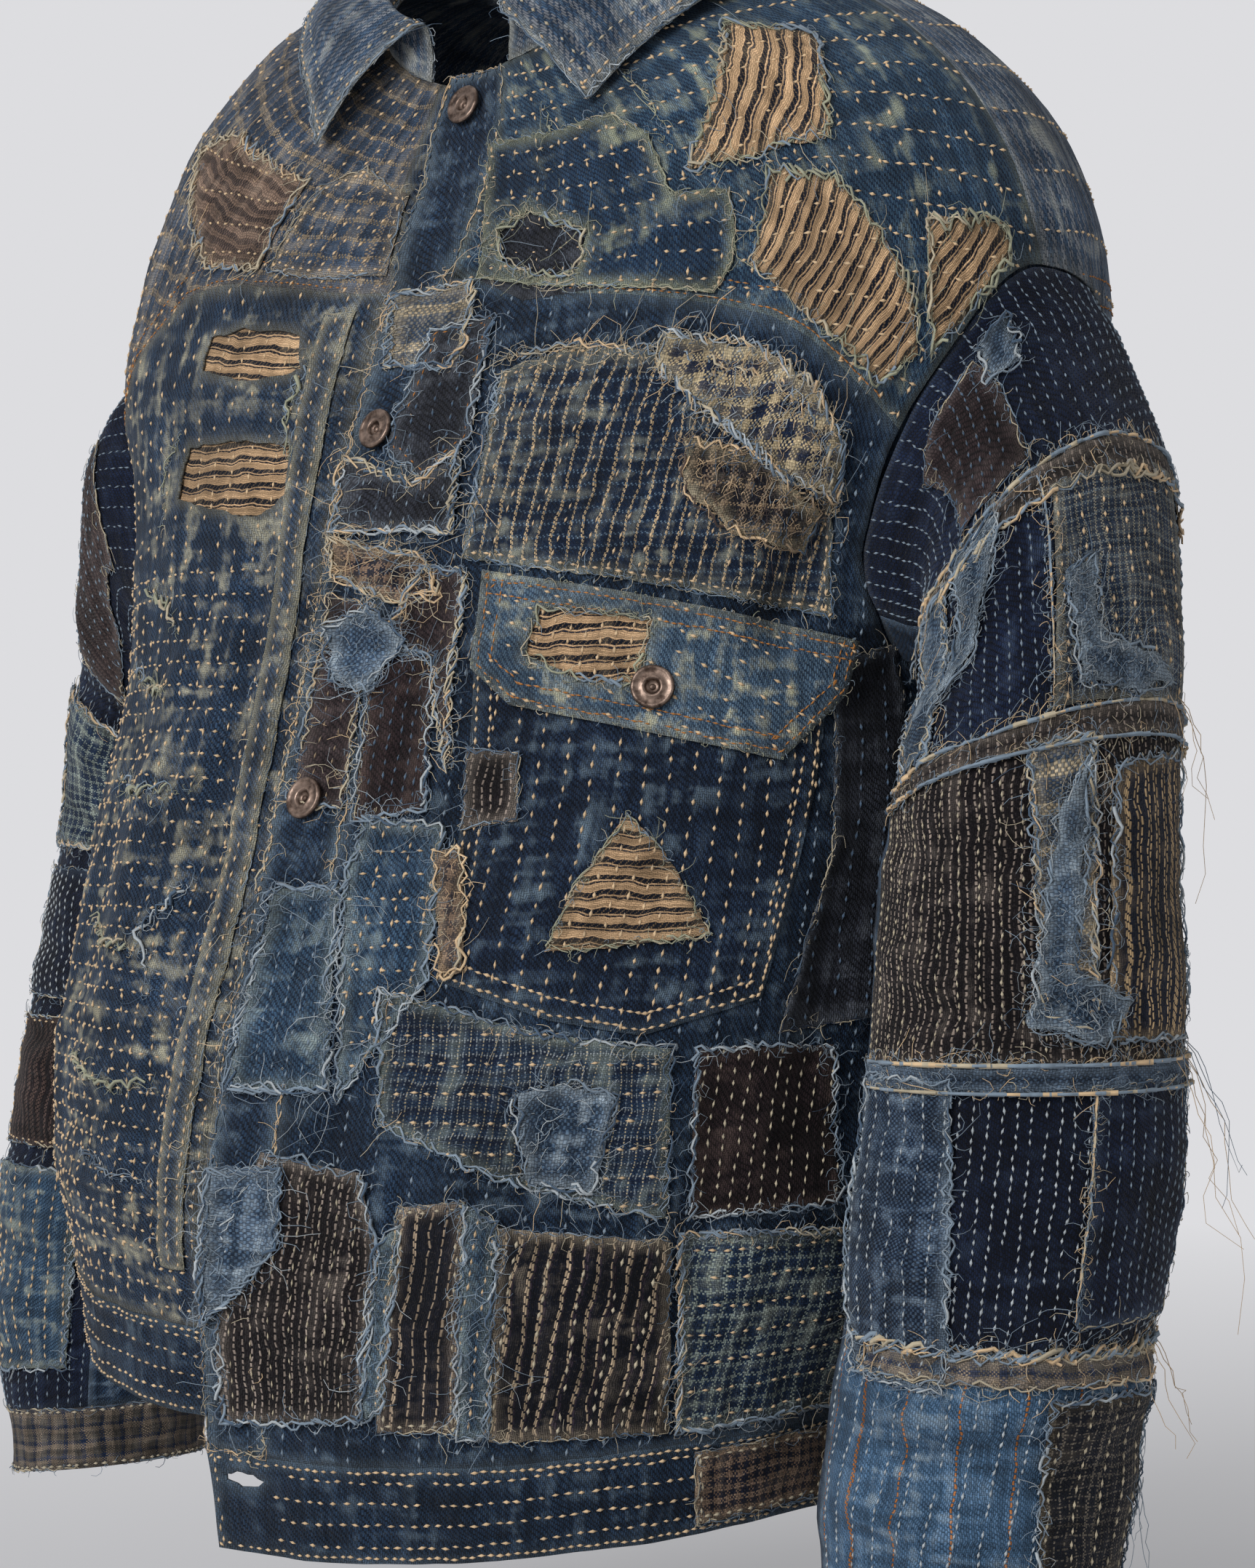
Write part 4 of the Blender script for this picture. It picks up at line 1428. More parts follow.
FRONT_PATCHES = [
    patch("ticking_right_upper", [(328, 489), (338, 493), (348, 491), (350, 470), (341, 464), (328, 468)],
          TICKING,
          "patch", UNDER, frays=(), sewing=(RUNS,)),
    patch("ticking_right_lower", [(326, 442), (337, 444), (350, 442), (351, 411), (343, 405), (325, 414)],
          TICKING,
          "patch", UNDER, frays=(), sewing=(RUNS,)),
    patch("pleat_right_fold", [(349.0, 496), (353.2, 497), (353.2, 66), (349.0, 66)], PLEAT, "pleat_right",
          ragged=0.3, held="folded", sewing=(replace(RUNS, spacing=5),),
          frays=(replace(FINE_FRAY, every=5, roll=0.5),)),
    patch("chest_stripe",
          [(14, 458), (22, 466), (50, 447), (60, 428), (66, 392), (68, 360), (46, 370), (14, 384)],
          CHEST_STRIPE, "patch_striped_chest", sewing=(replace(DOWN, angle=78, spacing=13, width=0.8), EDGE),
          frays=(replace(FINE_FRAY, every=1.6),
                 replace(BLUE_FRAY, line=[(14, 458), (14, 420), (15, 388)], toward=(-1, 0), length=11,
                         roll=1.3),
                 replace(CREAM_FRAY, length=13, every=0.7, wild=1.2, roll=1.5, toward=(0.2, 1.0),
                         line=[(13, 464), (22, 466), (37, 457), (52, 444), (60, 428), (66, 398)]))),
    patch("chest_gauze",
          [(33, 466), (46, 457), (56, 444), (63, 424), (65, 404), (54, 414), (42, 436), (34, 452)],
          CHEST_GAUZE, level=LAYER_2, ragged=2, curl=1.4,
          frays=(replace(BLUE_FRAY, every=1.6, fill=0.03), replace(CREAM_FRAY, every=1.6, fill=0.03))),
    patch("chest_fuzz", [(40, 428), (52, 420), (63, 400), (62, 384), (50, 392), (42, 408)], FUZZED,
          level=LAYER_2, ragged=2.4, curl=1.6,
          frays=(replace(CREAM_FRAY, threads=(BROWN, TAN, CREAM, BLUE), fill=0.16, wild=1.8, every=1.4,
                         length=7),)),
    patch("gauze_placket", [(-1, 499), (7.5, 499), (8.5, 470), (7.5, 462), (0, 466)], GAUZE_CREAM,
          "patch", ragged=1.2, frays=(CREAM_FRAY, BLUE_FRAY)),
    patch("charcoal_placket", [(4, 480), (11, 484), (12, 432), (7, 416), (2, 430)], CHARCOAL,
          level=LAYER_1 + 0.2,
          sewing=(replace(TOPSTITCH, gap=2.2), replace(DOWN, spacing=7, thread=BLUE)), frays=(BLUE_FRAY,)),
    patch("charcoal_below_button", [(-1.5, 428), (6.5, 414), (11, 428), (12.5, 394), (-1.5, 397)], CHARCOAL,
          level=LAYER_2, sewing=(replace(DOWN, spacing=6, thread=SKY, width=0.7),),
          frays=(BLUE_FRAY, replace(CREAM_FRAY, length=13, every=2))),
    patch("tan_strip_placket", [(-2, 395), (9, 385), (12, 370), (6, 367), (-1, 378)], TAN_CHECK,
          frays=(CREAM_FRAY, replace(CREAM_FRAY, length=14, every=1.4, wild=1.4))),
    patch("brown_placket", [(-1.2, 372), (4.6, 366), (4.4, 286), (-1.2, 288)], CAP_BROWN,
          sewing=(replace(DOWN, spacing=5.5, thread=TAN, width=0.7),), frays=(DARK_FRAY, CREAM_FRAY)),
    patch("brown_front", [(5, 350), (13, 347), (15, 286), (6, 282)], BROWN_STITCHED, "patch",
          sewing=(replace(TIGHT_RUNS, thread=BLUE, spacing=4.6),), frays=(DARK_FRAY, BLUE_FRAY)),
    patch("brown_beside_pocket", [(9, 382), (15, 380), (17, 300), (12.5, 345), (6, 352)], CAP_BROWN,
          level=LAYER_1 + 0.4, sewing=(replace(DOWN, spacing=5, thread=TAN, width=0.7),),
          frays=(CREAM_FRAY, BLUE_FRAY)),
    patch("gauze_tuft_placket", [(-1, 358), (4, 366), (9, 352), (6, 330), (1, 336)], GAUZE_BLUE,
          level=LAYER_3,
          ragged=2.2, curl=1.5, frays=(replace(BLUE_TUFT, length=12),)),
    patch("denim_edge", [(-1.5, 256), (6, 258), (10, 180), (-1.8, 178)], DENIM_BLUE, "patch",
          sewing=(replace(TIGHT_RUNS, thread=SKY),), frays=(BLUE_FRAY, LONG_BLUE)),
    patch("indigo_between", [(7, 284), (18, 280), (20, 222), (11, 176), (6.5, 258)], DENIM_BLUE,
          sewing=(DOWN, replace(ALONG, spacing=9)), frays=(replace(BLUE_FRAY, every=1, length=11),)),
    patch("pocket_indigo", [(18, 372), (21, 222), (36, 207), (48, 201), (63, 214), (69, 347)], POCKET_INDIGO,
          "pocket", ragged=0, curl=0, frays=(), round_edge=True,
          sewing=(replace(DOWN, angle=88, spacing=11, gap=3.8),
                  replace(EDGE, inset=2.2, gap=1.6), replace(EDGE, inset=8, gap=1.6))),
    patch("pocket_black_fleck", [(19, 310), (26, 308), (27, 282), (20, 278)], FLECKED, level=LAYER_2),
    patch("pocket_tan_column", [(17.5, 270), (21, 272), (24.5, 225), (21.5, 222)], TAN_CHECK, level=LAYER_2,
          frays=(CREAM_FRAY,)),
    patch("pocket_ticking", [(41, 285), (47, 270), (55, 238), (34, 232), (36, 257)], TICKING,
          "patch_ticking_pocket", LAYER_2, sewing=(replace(RUNS, spacing=7, gap=4.6),),
          frays=(replace(OLIVE_FRAY, roll=0.9, length=6),)),
    patch("flap_ticking", [(23, 369), (45, 363), (44, 329), (32, 331), (22, 344)], TICKING, level=LAYER_2,
          sewing=(replace(RUNS, spacing=7),), frays=()),
    patch("flap_denim", [(17.5, 379), (18.5, 340), (24, 326), (61, 305), (71, 331), (72, 352)], FLAP_DENIM,
          "pocket_flap", LAYER_3, ragged=0, curl=0.5, round_edge=True,
          windows=([(26, 364), (42, 359), (41, 333), (33, 335), (25, 345)],),
          sewing=(TOPSTITCH, replace(TOPSTITCH, inset=8.5), replace(ALONG, angle=-22, spacing=8, kept=0.5)),
          frays=(replace(OLIVE_FRAY, length=4, every=3, roll=0),)),
    patch("glen_check", [(14, 219), (36, 202), (52, 196), (55, 130), (33, 148), (17, 168)], GLEN_CHECK,
          "patch",
          sewing=(ALONG,), frays=(BLUE_FRAY, replace(CREAM_FRAY, every=3, roll=0))),
    patch("blue_torn_tuft", [(33, 180), (40, 184), (46, 178), (45, 142), (37, 146)], GAUZE_BLUE,
          level=LAYER_2,
          ragged=2, curl=1.6, frays=(BLUE_TUFT,)),
    patch("brown_side", [(55, 196), (75, 195), (78, 131), (58, 129)], BROWN_STITCHED, "patch",
          sewing=(replace(TIGHT_RUNS, thread=OAT),), frays=(BLUE_FRAY,)),
    patch("navy_side", [(69, 345), (80, 352), (84, 290), (82, 205), (66, 200), (70, 262)], CHARCOAL,
          sewing=(replace(DOWN, thread=BLUE),), frays=(DARK_FRAY,)),
    patch("flecked_front", [(0, 124), (3, 156), (16, 150), (19.5, 122), (20, 56), (0, 50)], FLECKED, "patch",
          sewing=(replace(DOWN, spacing=8, thread=OAT, width=0.7),), frays=(BLUE_FRAY,)),
    patch("pale_gauze_edge", [(-2, 148), (6, 150), (7, 120), (-1, 88)], GAUZE_BLUE, level=LAYER_2, ragged=1.5,
          frays=(BLUE_FRAY, LONG_BLUE)),
    patch("indigo_low_strip", [(19, 124), (22, 132), (22.5, 60), (19.5, 56)], DENIM_BLUE, frays=(BLUE_FRAY,),
          sewing=(TIGHT_RUNS,)),
    patch("stripe_narrow", [(21, 138), (30, 140), (33, 52), (22, 52)], STRIPE_NARROW, "patch",
          sewing=(OAT_EDGE,)),
    patch("indigo_mid_strip", [(29.5, 140), (34, 132), (37, 50), (33, 50)], DENIM_BLUE, level=LAYER_1 + 0.3,
          sewing=(TIGHT_RUNS,), frays=(replace(BLUE_FRAY, length=11, every=1),)),
    patch("stripe_wide", [(34, 130), (56, 122), (61, 44), (37, 48)], STRIPE_WIDE, "patch",
          sewing=(replace(DOWN, spacing=14, thread=OAT),)),
    patch("gauze_hem", [(57, 124), (81, 120), (86, 44), (62, 44)], GAUZE_CHECK, "patch",
          sewing=(ALONG,), frays=(BLUE_FRAY, replace(CREAM_FRAY, every=2))),
    patch("tan_check_band", [(65, 35), (86, 35), (86, 4), (66, 4)], TAN_CHECK, "patch_tan_band",
          sewing=(OAT_EDGE,)),
]


def turn_at(offset: float, height: float) -> float:
    """The turn at which the body lies this far from the centre front."""
    half = float(spline(np.array(BODY.rings)[:, :2], height))
    return math.copysign(math.degrees(math.asin((abs(offset) / half) ** (SQUARENESS / 2))), offset)


def front_edge(heights: list[float]) -> Outline:
    """Places down the left front edge."""
    return [(turn_at(float(spline(FRONT_EDGE, height)), height), height) for height in heights]


def placket_seam(sign: int, offset: float = PLACKET_IN) -> Outline:
    """Places up the seam beside a placket."""
    heights = (HEM_BAND, 150.0, 290.0, 430.0, YOKE_SEAM_FRONT_H, NECK_H)
    return [((0 if sign > 0 else 360) + sign * turn_at(offset, height), height) for height in heights]


def armhole(sleeve: SleeveForm, start: float, stop: float) -> Outline:
    """The armhole of a sleeve between two turns of it."""
    turns = np.linspace(start, stop, max(2, int(abs(stop - start) / 6)))
    return [tuple(p) for p in sleeve.armhole_at(turns, 1.4) / np.array(BODY.scale)]


def turn_of_height(height: float) -> float:
    """The turn of the sleeve at which the armhole passes a height in front."""
    low, high, _, _ = LEFT_SLEEVE.armhole
    share = (height - (low + high) / 2) / ((high - low) / 2)
    return math.degrees(math.acos(math.copysign(abs(share) ** (1 / 0.9), share)))


def body_panels() -> list[Cloth]:
    """The body's plackets, fronts, yokes, back and waistband, cut as the jacket's own seams divide it."""
    left, right, end = placket_seam(1), placket_seam(-1), placket_seam(-1, -(PLACKET_IN - 2))
    yoke_end, back_end = turn_of_height(YOKE_END_H), turn_of_height(BACK_YOKE_H)
    heights = [HEM_BAND, 70, 100, 150, 200, 250, 293, 340, 380, 450, 520, 560, NECK_H]
    torn_upper = [(330, 485), (336, 490), (346, 488), (348, 472), (341, 467), (330, 471)]
    torn_lower = [(328, 440), (337, 442), (348, 440), (349, 417), (343, 408), (327, 417)]
    band = [front_edge([0.0])[0], (end[0][0], 0.0), (end[0][0], HEM_BAND), front_edge([HEM_BAND])[0]]
    buttonhole = [(-0.6, 30), (1.2, 31.4), (3.6, 31.2), (5.0, 29), (4.2, 26.2), (1.6, 25.4), (-0.4, 26.6)]
    torn = replace(OLIVE_FRAY, roll=0.8)
    return [
        Cloth("placket_left_denim", front_edge(heights) + left[::-1], DENIM_DARK, "placket_left",
              frays=(replace(FINE_FRAY, threads=(CREAM, OAT, BLUE)),), round_edge=True, ragged=0.3,
              sewing=(Sewing(zone=[(-9, 40), (-2, 40), (-2, 590), (-9, 590)], spacing=5.5, length=2.3,
                             gap=1.8,
                             width=0.8),
                      replace(DOWN, spacing=7, thread=BLUE))),
        Cloth("placket_right_denim", right + end[::-1], BLEACHED, "placket_right"),
        Cloth("front_yoke_left_twill",
              left[4:] + [(SHOULDER_SEAM, NECK_H)] + armhole(LEFT_SLEEVE, 0, yoke_end) + YOKE_SEAM_LEFT[::-1],
              YOKE_TWILL, "front_yoke_left",
              sewing=(replace(ALONG, angle=-8, spacing=9.5, gap=4.2),
                      replace(DOWN, angle=84, gap=6, kept=0.7),
                      *seams(YOKE_SEAM_LEFT, 2.0, 8.5)),
              frays=(replace(torn, line=[(20, 566), (19, 540), (17, 523)], toward=(1, 0)),
                     replace(torn, every=1.2, line=[(35, 566), (37, 548), (35, 530)], toward=(-1, 0)))),
        Cloth("front_yoke_right_check",
              right[4:] + [(360 - SHOULDER_SEAM, NECK_H)] + armhole(RIGHT_SLEEVE, 0,
                                                                    yoke_end) + YOKE_SEAM_RIGHT[::-1],
              GREY_YOKE, "front_yoke_right",
              sewing=(replace(RUNS, angle=60), *seams(YOKE_SEAM_RIGHT, -2.0, -9.0))),
        Cloth("front_left_denim",
              left[:5] + YOKE_SEAM_LEFT + armhole(LEFT_SLEEVE, yoke_end, 180) + [(90, HEM_BAND)],
              DENIM_DARK, "front_left", sewing=(replace(DOWN, thread=SKY, spacing=16),)),
        Cloth("front_right_bleached",
              right[:5] + YOKE_SEAM_RIGHT + armhole(RIGHT_SLEEVE, yoke_end, 180) + [(270, HEM_BAND)],
              BLEACHED, "front_right", windows=(torn_upper, torn_lower), curl=0.9,
              sewing=(replace(DOWN, spacing=11, gap=5, kept=0.8),
                      replace(ALONG, angle=2, spacing=9.5, gap=4.2, kept=0.9,
                              zone=[(352, 385), (352, 40), (270, 40), (270, 385)])),
              frays=tuple(replace(fray, line=line, toward=toward) for fray, line, toward in TEARS)),
        Cloth("back_panel_denim",
              [(90, HEM_BAND)] + armhole(LEFT_SLEEVE, 180, 360 - back_end)
              + armhole(RIGHT_SLEEVE, 360 - back_end, 180) + [(270, HEM_BAND)],
              DENIM_BACK, "back_panel", step=6,
              sewing=(replace(RUNS, spacing=22, gap=5), replace(ALONG, spacing=36, gap=5, thread=OAT))),
        Cloth("back_yoke_napped",
              [(SHOULDER_SEAM, NECK_H)] + armhole(LEFT_SLEEVE, 0, -back_end)
              + armhole(RIGHT_SLEEVE, -back_end, 0) + [(360 - SHOULDER_SEAM, NECK_H)],
              KNIT_PALE, "back_yoke", step=5.4,
              sewing=(replace(ALONG, spacing=14), *seams(BACK_YOKE_SEAM, 2.0, 8.5))),
        Cloth("waistband_indigo", band, DENIM_DARK, "waistband", windows=(buttonhole,), held="gathered",
              sewing=(replace(ALONG, spacing=8.5, gap=3, zone=[(6, 3), (362, 3), (362, 36), (6, 36)]),
                      replace(EDGE, inset=2.2, gap=1.6))),
    ]


RAW = Fray(length=10, every=1.1, wild=1.2, roll=2.3, strands=4, threads=(OAT, SKY, CREAM, SKY))
RAW_STRIP = replace(RAW, length=8, every=1.6, roll=1.9, strands=3)
RAW_SIDE = replace(RAW_STRIP, roll=1.2)
ROW_ENDS = (0.0, 0.125, 0.275, 0.49, 0.69, CUFF_SHARE)
ROWS = (
    (NAVY, NAVY_RUNS), (NAVY, NAVY_RUNS), (FLECKED, replace(WHITE_RUNS, spacing=8, thread=OAT)),
    (NAVY_DEEP, WHITE_RUNS), (CHAMBRAY, replace(WHITE_RUNS, spacing=10, angle=85)),
)
STRIP_WIDE = 0.019
on_left = partial(patch, prefix="sleeve_left_", form=LEFT_SLEEVE)
torn_blue = partial(on_left, finish=GAUZE_BLUE, level=LAYER_2, ragged=2.4, curl=1.8, frays=(BLUE_FUZZ,))
LEFT_PATCHES = [
    on_left("charcoal_cap", [(48, 0.03), (70, 0.028), (86, 0.045), (78, 0.117), (44, 0.119)], CAP_BROWN,
            "patch",
            sewing=(replace(NAVY_RUNS, thread=BLUE, angle=80),)),
    on_left("gauze_cap", [(30, 0.02), (44, 0.022), (50, 0.06), (34, 0.07)], GAUZE_BLUE, ragged=1.6,
            frays=(BLUE_FRAY,)),
    on_left("fine_check", [(-28, 0.135), (40, 0.14), (43, 0.272), (-28, 0.277)], FINE_CHECK,
            "patch_fine_check_sleeve", sewing=(replace(RUNS, spacing=10),),
            frays=(replace(RAW_SIDE, line=[(43, 0.13), (43, 0.275)], toward=(1, 0)),
                   replace(RAW_SIDE, line=[(43, 0.13), (43, 0.275)], toward=(-1, 0), roll=0))),
    torn_blue("torn_blue_1", [(60, 0.13), (84, 0.132), (80, 0.17), (92, 0.24), (74, 0.21), (64, 0.16)]),
    torn_blue("torn_blue_2",
              [(26, 0.19), (38, 0.195), (34, 0.262), (8, 0.272), (-14, 0.266), (2, 0.25), (24, 0.24)]),
    on_left("gauze_strip", [(86, 0.14), (104, 0.14), (112, 0.27), (92, 0.27)], GAUZE_BLUE, ragged=2, curl=1.6,
            frays=(BLUE_FRAY, CREAM_FRAY)),
    on_left("stripe", [(-25, 0.3), (20, 0.31), (24, 0.475), (-25, 0.478)], STRIPE_SLEEVE,
            "patch_stripe_sleeve",
            frays=(BLUE_FRAY,)),
    torn_blue("torn_blue_3", [(30, 0.3), (42, 0.33), (48, 0.4), (52, 0.465), (26, 0.478), (14, 0.45),
                              (36, 0.43), (32, 0.37)], ragged=2.6, curl=2),
    on_left("gauze", [(28, 0.29), (52, 0.29), (47, 0.455), (28, 0.468)], GAUZE_CREAM, "patch_gauze_sleeve",
            frays=(CREAM_FRAY, BLUE_FRAY)),
    on_left("gauze_forearm", [(78, 0.5), (126, 0.5), (130, 0.665), (112, 0.715), (70, 0.72), (74, 0.6)],
            GAUZE_DARK, "patch", ragged=1.4, sewing=(replace(WHITE_RUNS, spacing=9),), frays=(BLUE_FRAY,)),
    on_left("navy_forearm", [(-28, 0.5), (29, 0.505), (27, 0.672), (-28, 0.67)], NAVY, "patch",
            sewing=(NAVY_RUNS,),
            frays=(FINE_FRAY, replace(RAW_SIDE, line=[(28, 0.5), (28, 0.67)], toward=(1, 0)))),
    on_left("plaid_strip", [(-28, 0.693), (110, 0.693), (110, 0.713), (-28, 0.712)], PLAID_CUFF,
            frays=(CREAM_FRAY,)),
    on_left("dark_check", [(-30, 0.72), (34, 0.72), (26, 0.92), (-30, 0.92)], DARK_CHECK,
            "patch_dark_check_cuff",
            sewing=(replace(RUNS, thread=OAT),), frays=(BLUE_FRAY,)),
]
BLACK_RIB = replace(
    RIBBED_BROWN, name="black_brown_ribbed", dark="2a2224", mid="463b3b", light="8a7d78",
    weft=((0.0, "2c2426"), (0.5, "574946")), warp=((0.0, "3a3031"),),
)
on_right = partial(patch, prefix="sleeve_right_", form=RIGHT_SLEEVE)
RIGHT_PATCHES = [
    on_right("brown_rib", [(50, 0.06), (100, 0.05), (108, 0.21), (52, 0.21)], BLACK_RIB,
             "patch_ribbed_cap_right",
             sewing=(replace(NAVY_RUNS, angle=20, spacing=9),)),
    on_right("frayed_check", [(50, 0.25), (118, 0.25), (120, 0.38), (50, 0.38)], GAUZE_CHECK,
             "patch_frayed_check_right", ragged=1.6, frays=(BLUE_FRAY, CREAM_FRAY)),
    on_right("navy_block", [(48, 0.4), (112, 0.4), (112, 0.52), (48, 0.52)], NAVY_DEEP, "patch_navy_right",
             sewing=(WHITE_RUNS,)),
    on_right("gathered", [(46, 0.54), (116, 0.535), (118, 0.66), (46, 0.66)], GATHERED, sewing=(EDGE,)),
    on_right("worn_denim", [(45, 0.68), (120, 0.68), (118, 0.89), (45, 0.89)], WORN_DENIM,
             "patch_denim_right",
             sewing=(replace(RUNS, spacing=10),), frays=(BLUE_FRAY,)),
]


def block(start: float, low: float, stop: float, high: float) -> Outline:
    """The outline of a block of a sleeve, from its lowest turn and share to its highest."""
    return [(start, low), (stop, low), (stop, high), (start, high)]


def under_and_cuff(form: SleeveForm) -> list[Cloth]:
    """A sleeve's under part and its cuff."""
    side = form.side.value
    runs = replace(RUNS, thread=SKY, spacing=15, zone=[(210, 0.05), (296, 0.05), (296, 0.9), (210, 0.9)])
    return [
        Cloth(f"sleeve_{side}_under_cloth", block(130, 0, 300, CUFF_SHARE), DENIM_BACK,
              f"sleeve_{side}_under",
              form=form, step=6, sewing=(runs,)),
        Cloth(f"sleeve_{side}_cuff_plaid", block(-60, CUFF_SHARE, 300, 1), PLAID_CUFF, f"cuff_{side}",
              form=form,
              sewing=(replace(EDGE, inset=2.5, thread=OAT),), frays=(replace(FINE_FRAY, every=4),)),
    ]


def left_sleeve() -> list[Cloth]:
    """The left sleeve's five rows of cloth, its under part and cuff, and what is sewn on them."""
    rows = []
    for number, (low, high, (look, runs)) in enumerate(zip(ROW_ENDS, ROW_ENDS[1:], ROWS), 1):
        seam = replace(RAW, line=[(-58, low), (128, low)])
        frays = (seam, replace(seam, toward=(0, -1), roll=0)) if number > 1 else ()
        name = f"sleeve_left_row_{number}"
        node = f"sleeve_left_block_{number}"
        rows.append(
            Cloth(name, block(-60, low, 130, high), look, node, form=LEFT_SLEEVE, sewing=(runs,), frays=frays)
        )
    strips = []
    for number, (low, look) in enumerate(zip(ROW_ENDS[1:], (FLECKED, FLECKED, GAUZE_DARK)), 2):
        high = low + STRIP_WIDE
        outline = [(-58, low), (20, low), (128, low), (128, high), (20, high), (-58, high)]
        fray = replace(RAW_STRIP, line=[(-58, high), (128, high)])
        strips.append(on_left(f"seam_strip_{number}", outline, look, frays=(fray,)))
    return rows + under_and_cuff(LEFT_SLEEVE) + strips + LEFT_PATCHES


def right_sleeve() -> list[Cloth]:
    """The right sleeve's upper part, its under part and cuff, and what is sewn on them."""
    upper = Cloth("sleeve_right_navy", block(-60, 0, 130, CUFF_SHARE), NAVY, "sleeve_right_upper", step=5.2,
                  form=RIGHT_SLEEVE, sewing=(replace(NAVY_RUNS, spacing=7, gap=3),))
    return [upper, *under_and_cuff(RIGHT_SLEEVE), *RIGHT_PATCHES]


def collar() -> list[Cloth]:
    """The collar, one piece folded over its stand."""
    return [
        Cloth("collar_napped", block(15, 0, 345, 1), KNIT_PALE, "collar", form=COLLAR, step=3.8,
              held="folded",
              round_edge=True, ragged=0.3,
              sewing=(replace(EDGE, gap=1.6), replace(EDGE, inset=9, thread=OAT)),
              frays=(replace(BLUE_FRAY, length=6, every=1.5, roll=1),))
    ]


def sleeve_dangles(box: Lengths) -> None:
    """Long loose threads at the left sleeve's outer edge, where its raw seams end."""
    for share, length, thread in (
        (0.27, 60.0, CREAM), (0.48, 55.0, SKY), (0.49, 70.0, CREAM), (0.69, 60.0, CREAM), (0.80, 45.0, SKY),
    ):
        flat = np.array([[turn, share * MM_PER_SHARE] for turn in (-28.0, -22.0, -14.0, -32.0)])
        box.dangle(LEFT_SLEEVE.place(flat, 1.4), length, thread, np.array([0.35, 0.1, 0.0]))


@dataclass
class Buttons:
    """Four plain dished metal buttons, three down the left front and one on the flap, in millimetres."""

    # Name, turn and height on the body, and how far out of the cloth the back of the button lies.
    places: tuple[tuple[str, float, float, float], ...] = (
        ("button_neck", 2.5, 577, 2.2), ("button_chest", 1.0, 438, 2.2), ("button_waist", 0.3, 290, 2.2),
        ("button_flap", 43, 332, 4.6),
    )
    # Half of the section, out from the axis: a flat back, a broad plain ring and a deep hollow with a pin.
    section: tuple[tuple[float, float], ...] = (
        (0, 0), (6.9, 0), (7.9, 0.4), (8.5, 1.2), (8.4, 2.0), (8.0, 2.55), (7.4, 2.7), (6.8, 2.5),
        (6.4, 2.35),
        (4.6, 2.35), (4.1, 2.6), (3.5, 2.65), (3.0, 2.3), (2.6, 1.4), (2.2, 0.8), (1.3, 0.7), (1.0, 1.2),
        (0, 1.3),
    )
    steps: int = 40

    def make(self, metal: Material) -> None:
        """Build the buttons, each with its face out of the cloth."""
        steps, inner = self.steps, np.array(self.section[1:-1])
        share = np.arange(steps) / steps * 2 * math.pi
        k, after = np.arange(steps), (np.arange(steps) + 1) % steps
        last = (len(inner) - 1) * steps
        tip = np.full(steps, len(inner) * steps)
        faces = [np.stack([tip, after, k], -1)]
        for a in range(0, last, steps):
            b = a + steps
            faces += [np.stack([a + k, a + after, b + after], -1), np.stack([a + k, b + after, b + k], -1)]
        faces = np.vstack([*faces, np.stack([tip + 1, last + k, last + after], -1)])
        for name, turn, height, lift in self.places:
            flat = np.array([[turn * MM_PER_DEG, height]])
            centre, up = BODY.place(flat, lift)[0], BODY.normal(flat)[0]
            side = unit(np.cross(up, [0, 0, 1.0]))
            around = np.cos(share)[:, None] * side + np.sin(share)[:, None] * np.cross(up, side)
            rings = [centre + radius * around + z * up for radius, z in inner]
            tips = [centre + self.section[end][1] * up for end in (0, -1)]
            points = np.vstack([*rings, tips])
            a, b, c = np.moveaxis(points[faces] - centre, 1, 0)
            outward = np.einsum("ij,ij->", a, np.cross(b, c)) >= 0
            mesh = make_mesh(name + "_metal", points, faces if outward else faces[:, ::-1])
            mesh.set_sharp_from_angle(angle=math.radians(60))
            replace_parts(show(name + "_metal", mesh, metal), name)
            LOG.info("%s: %d triangles", name, len(faces))


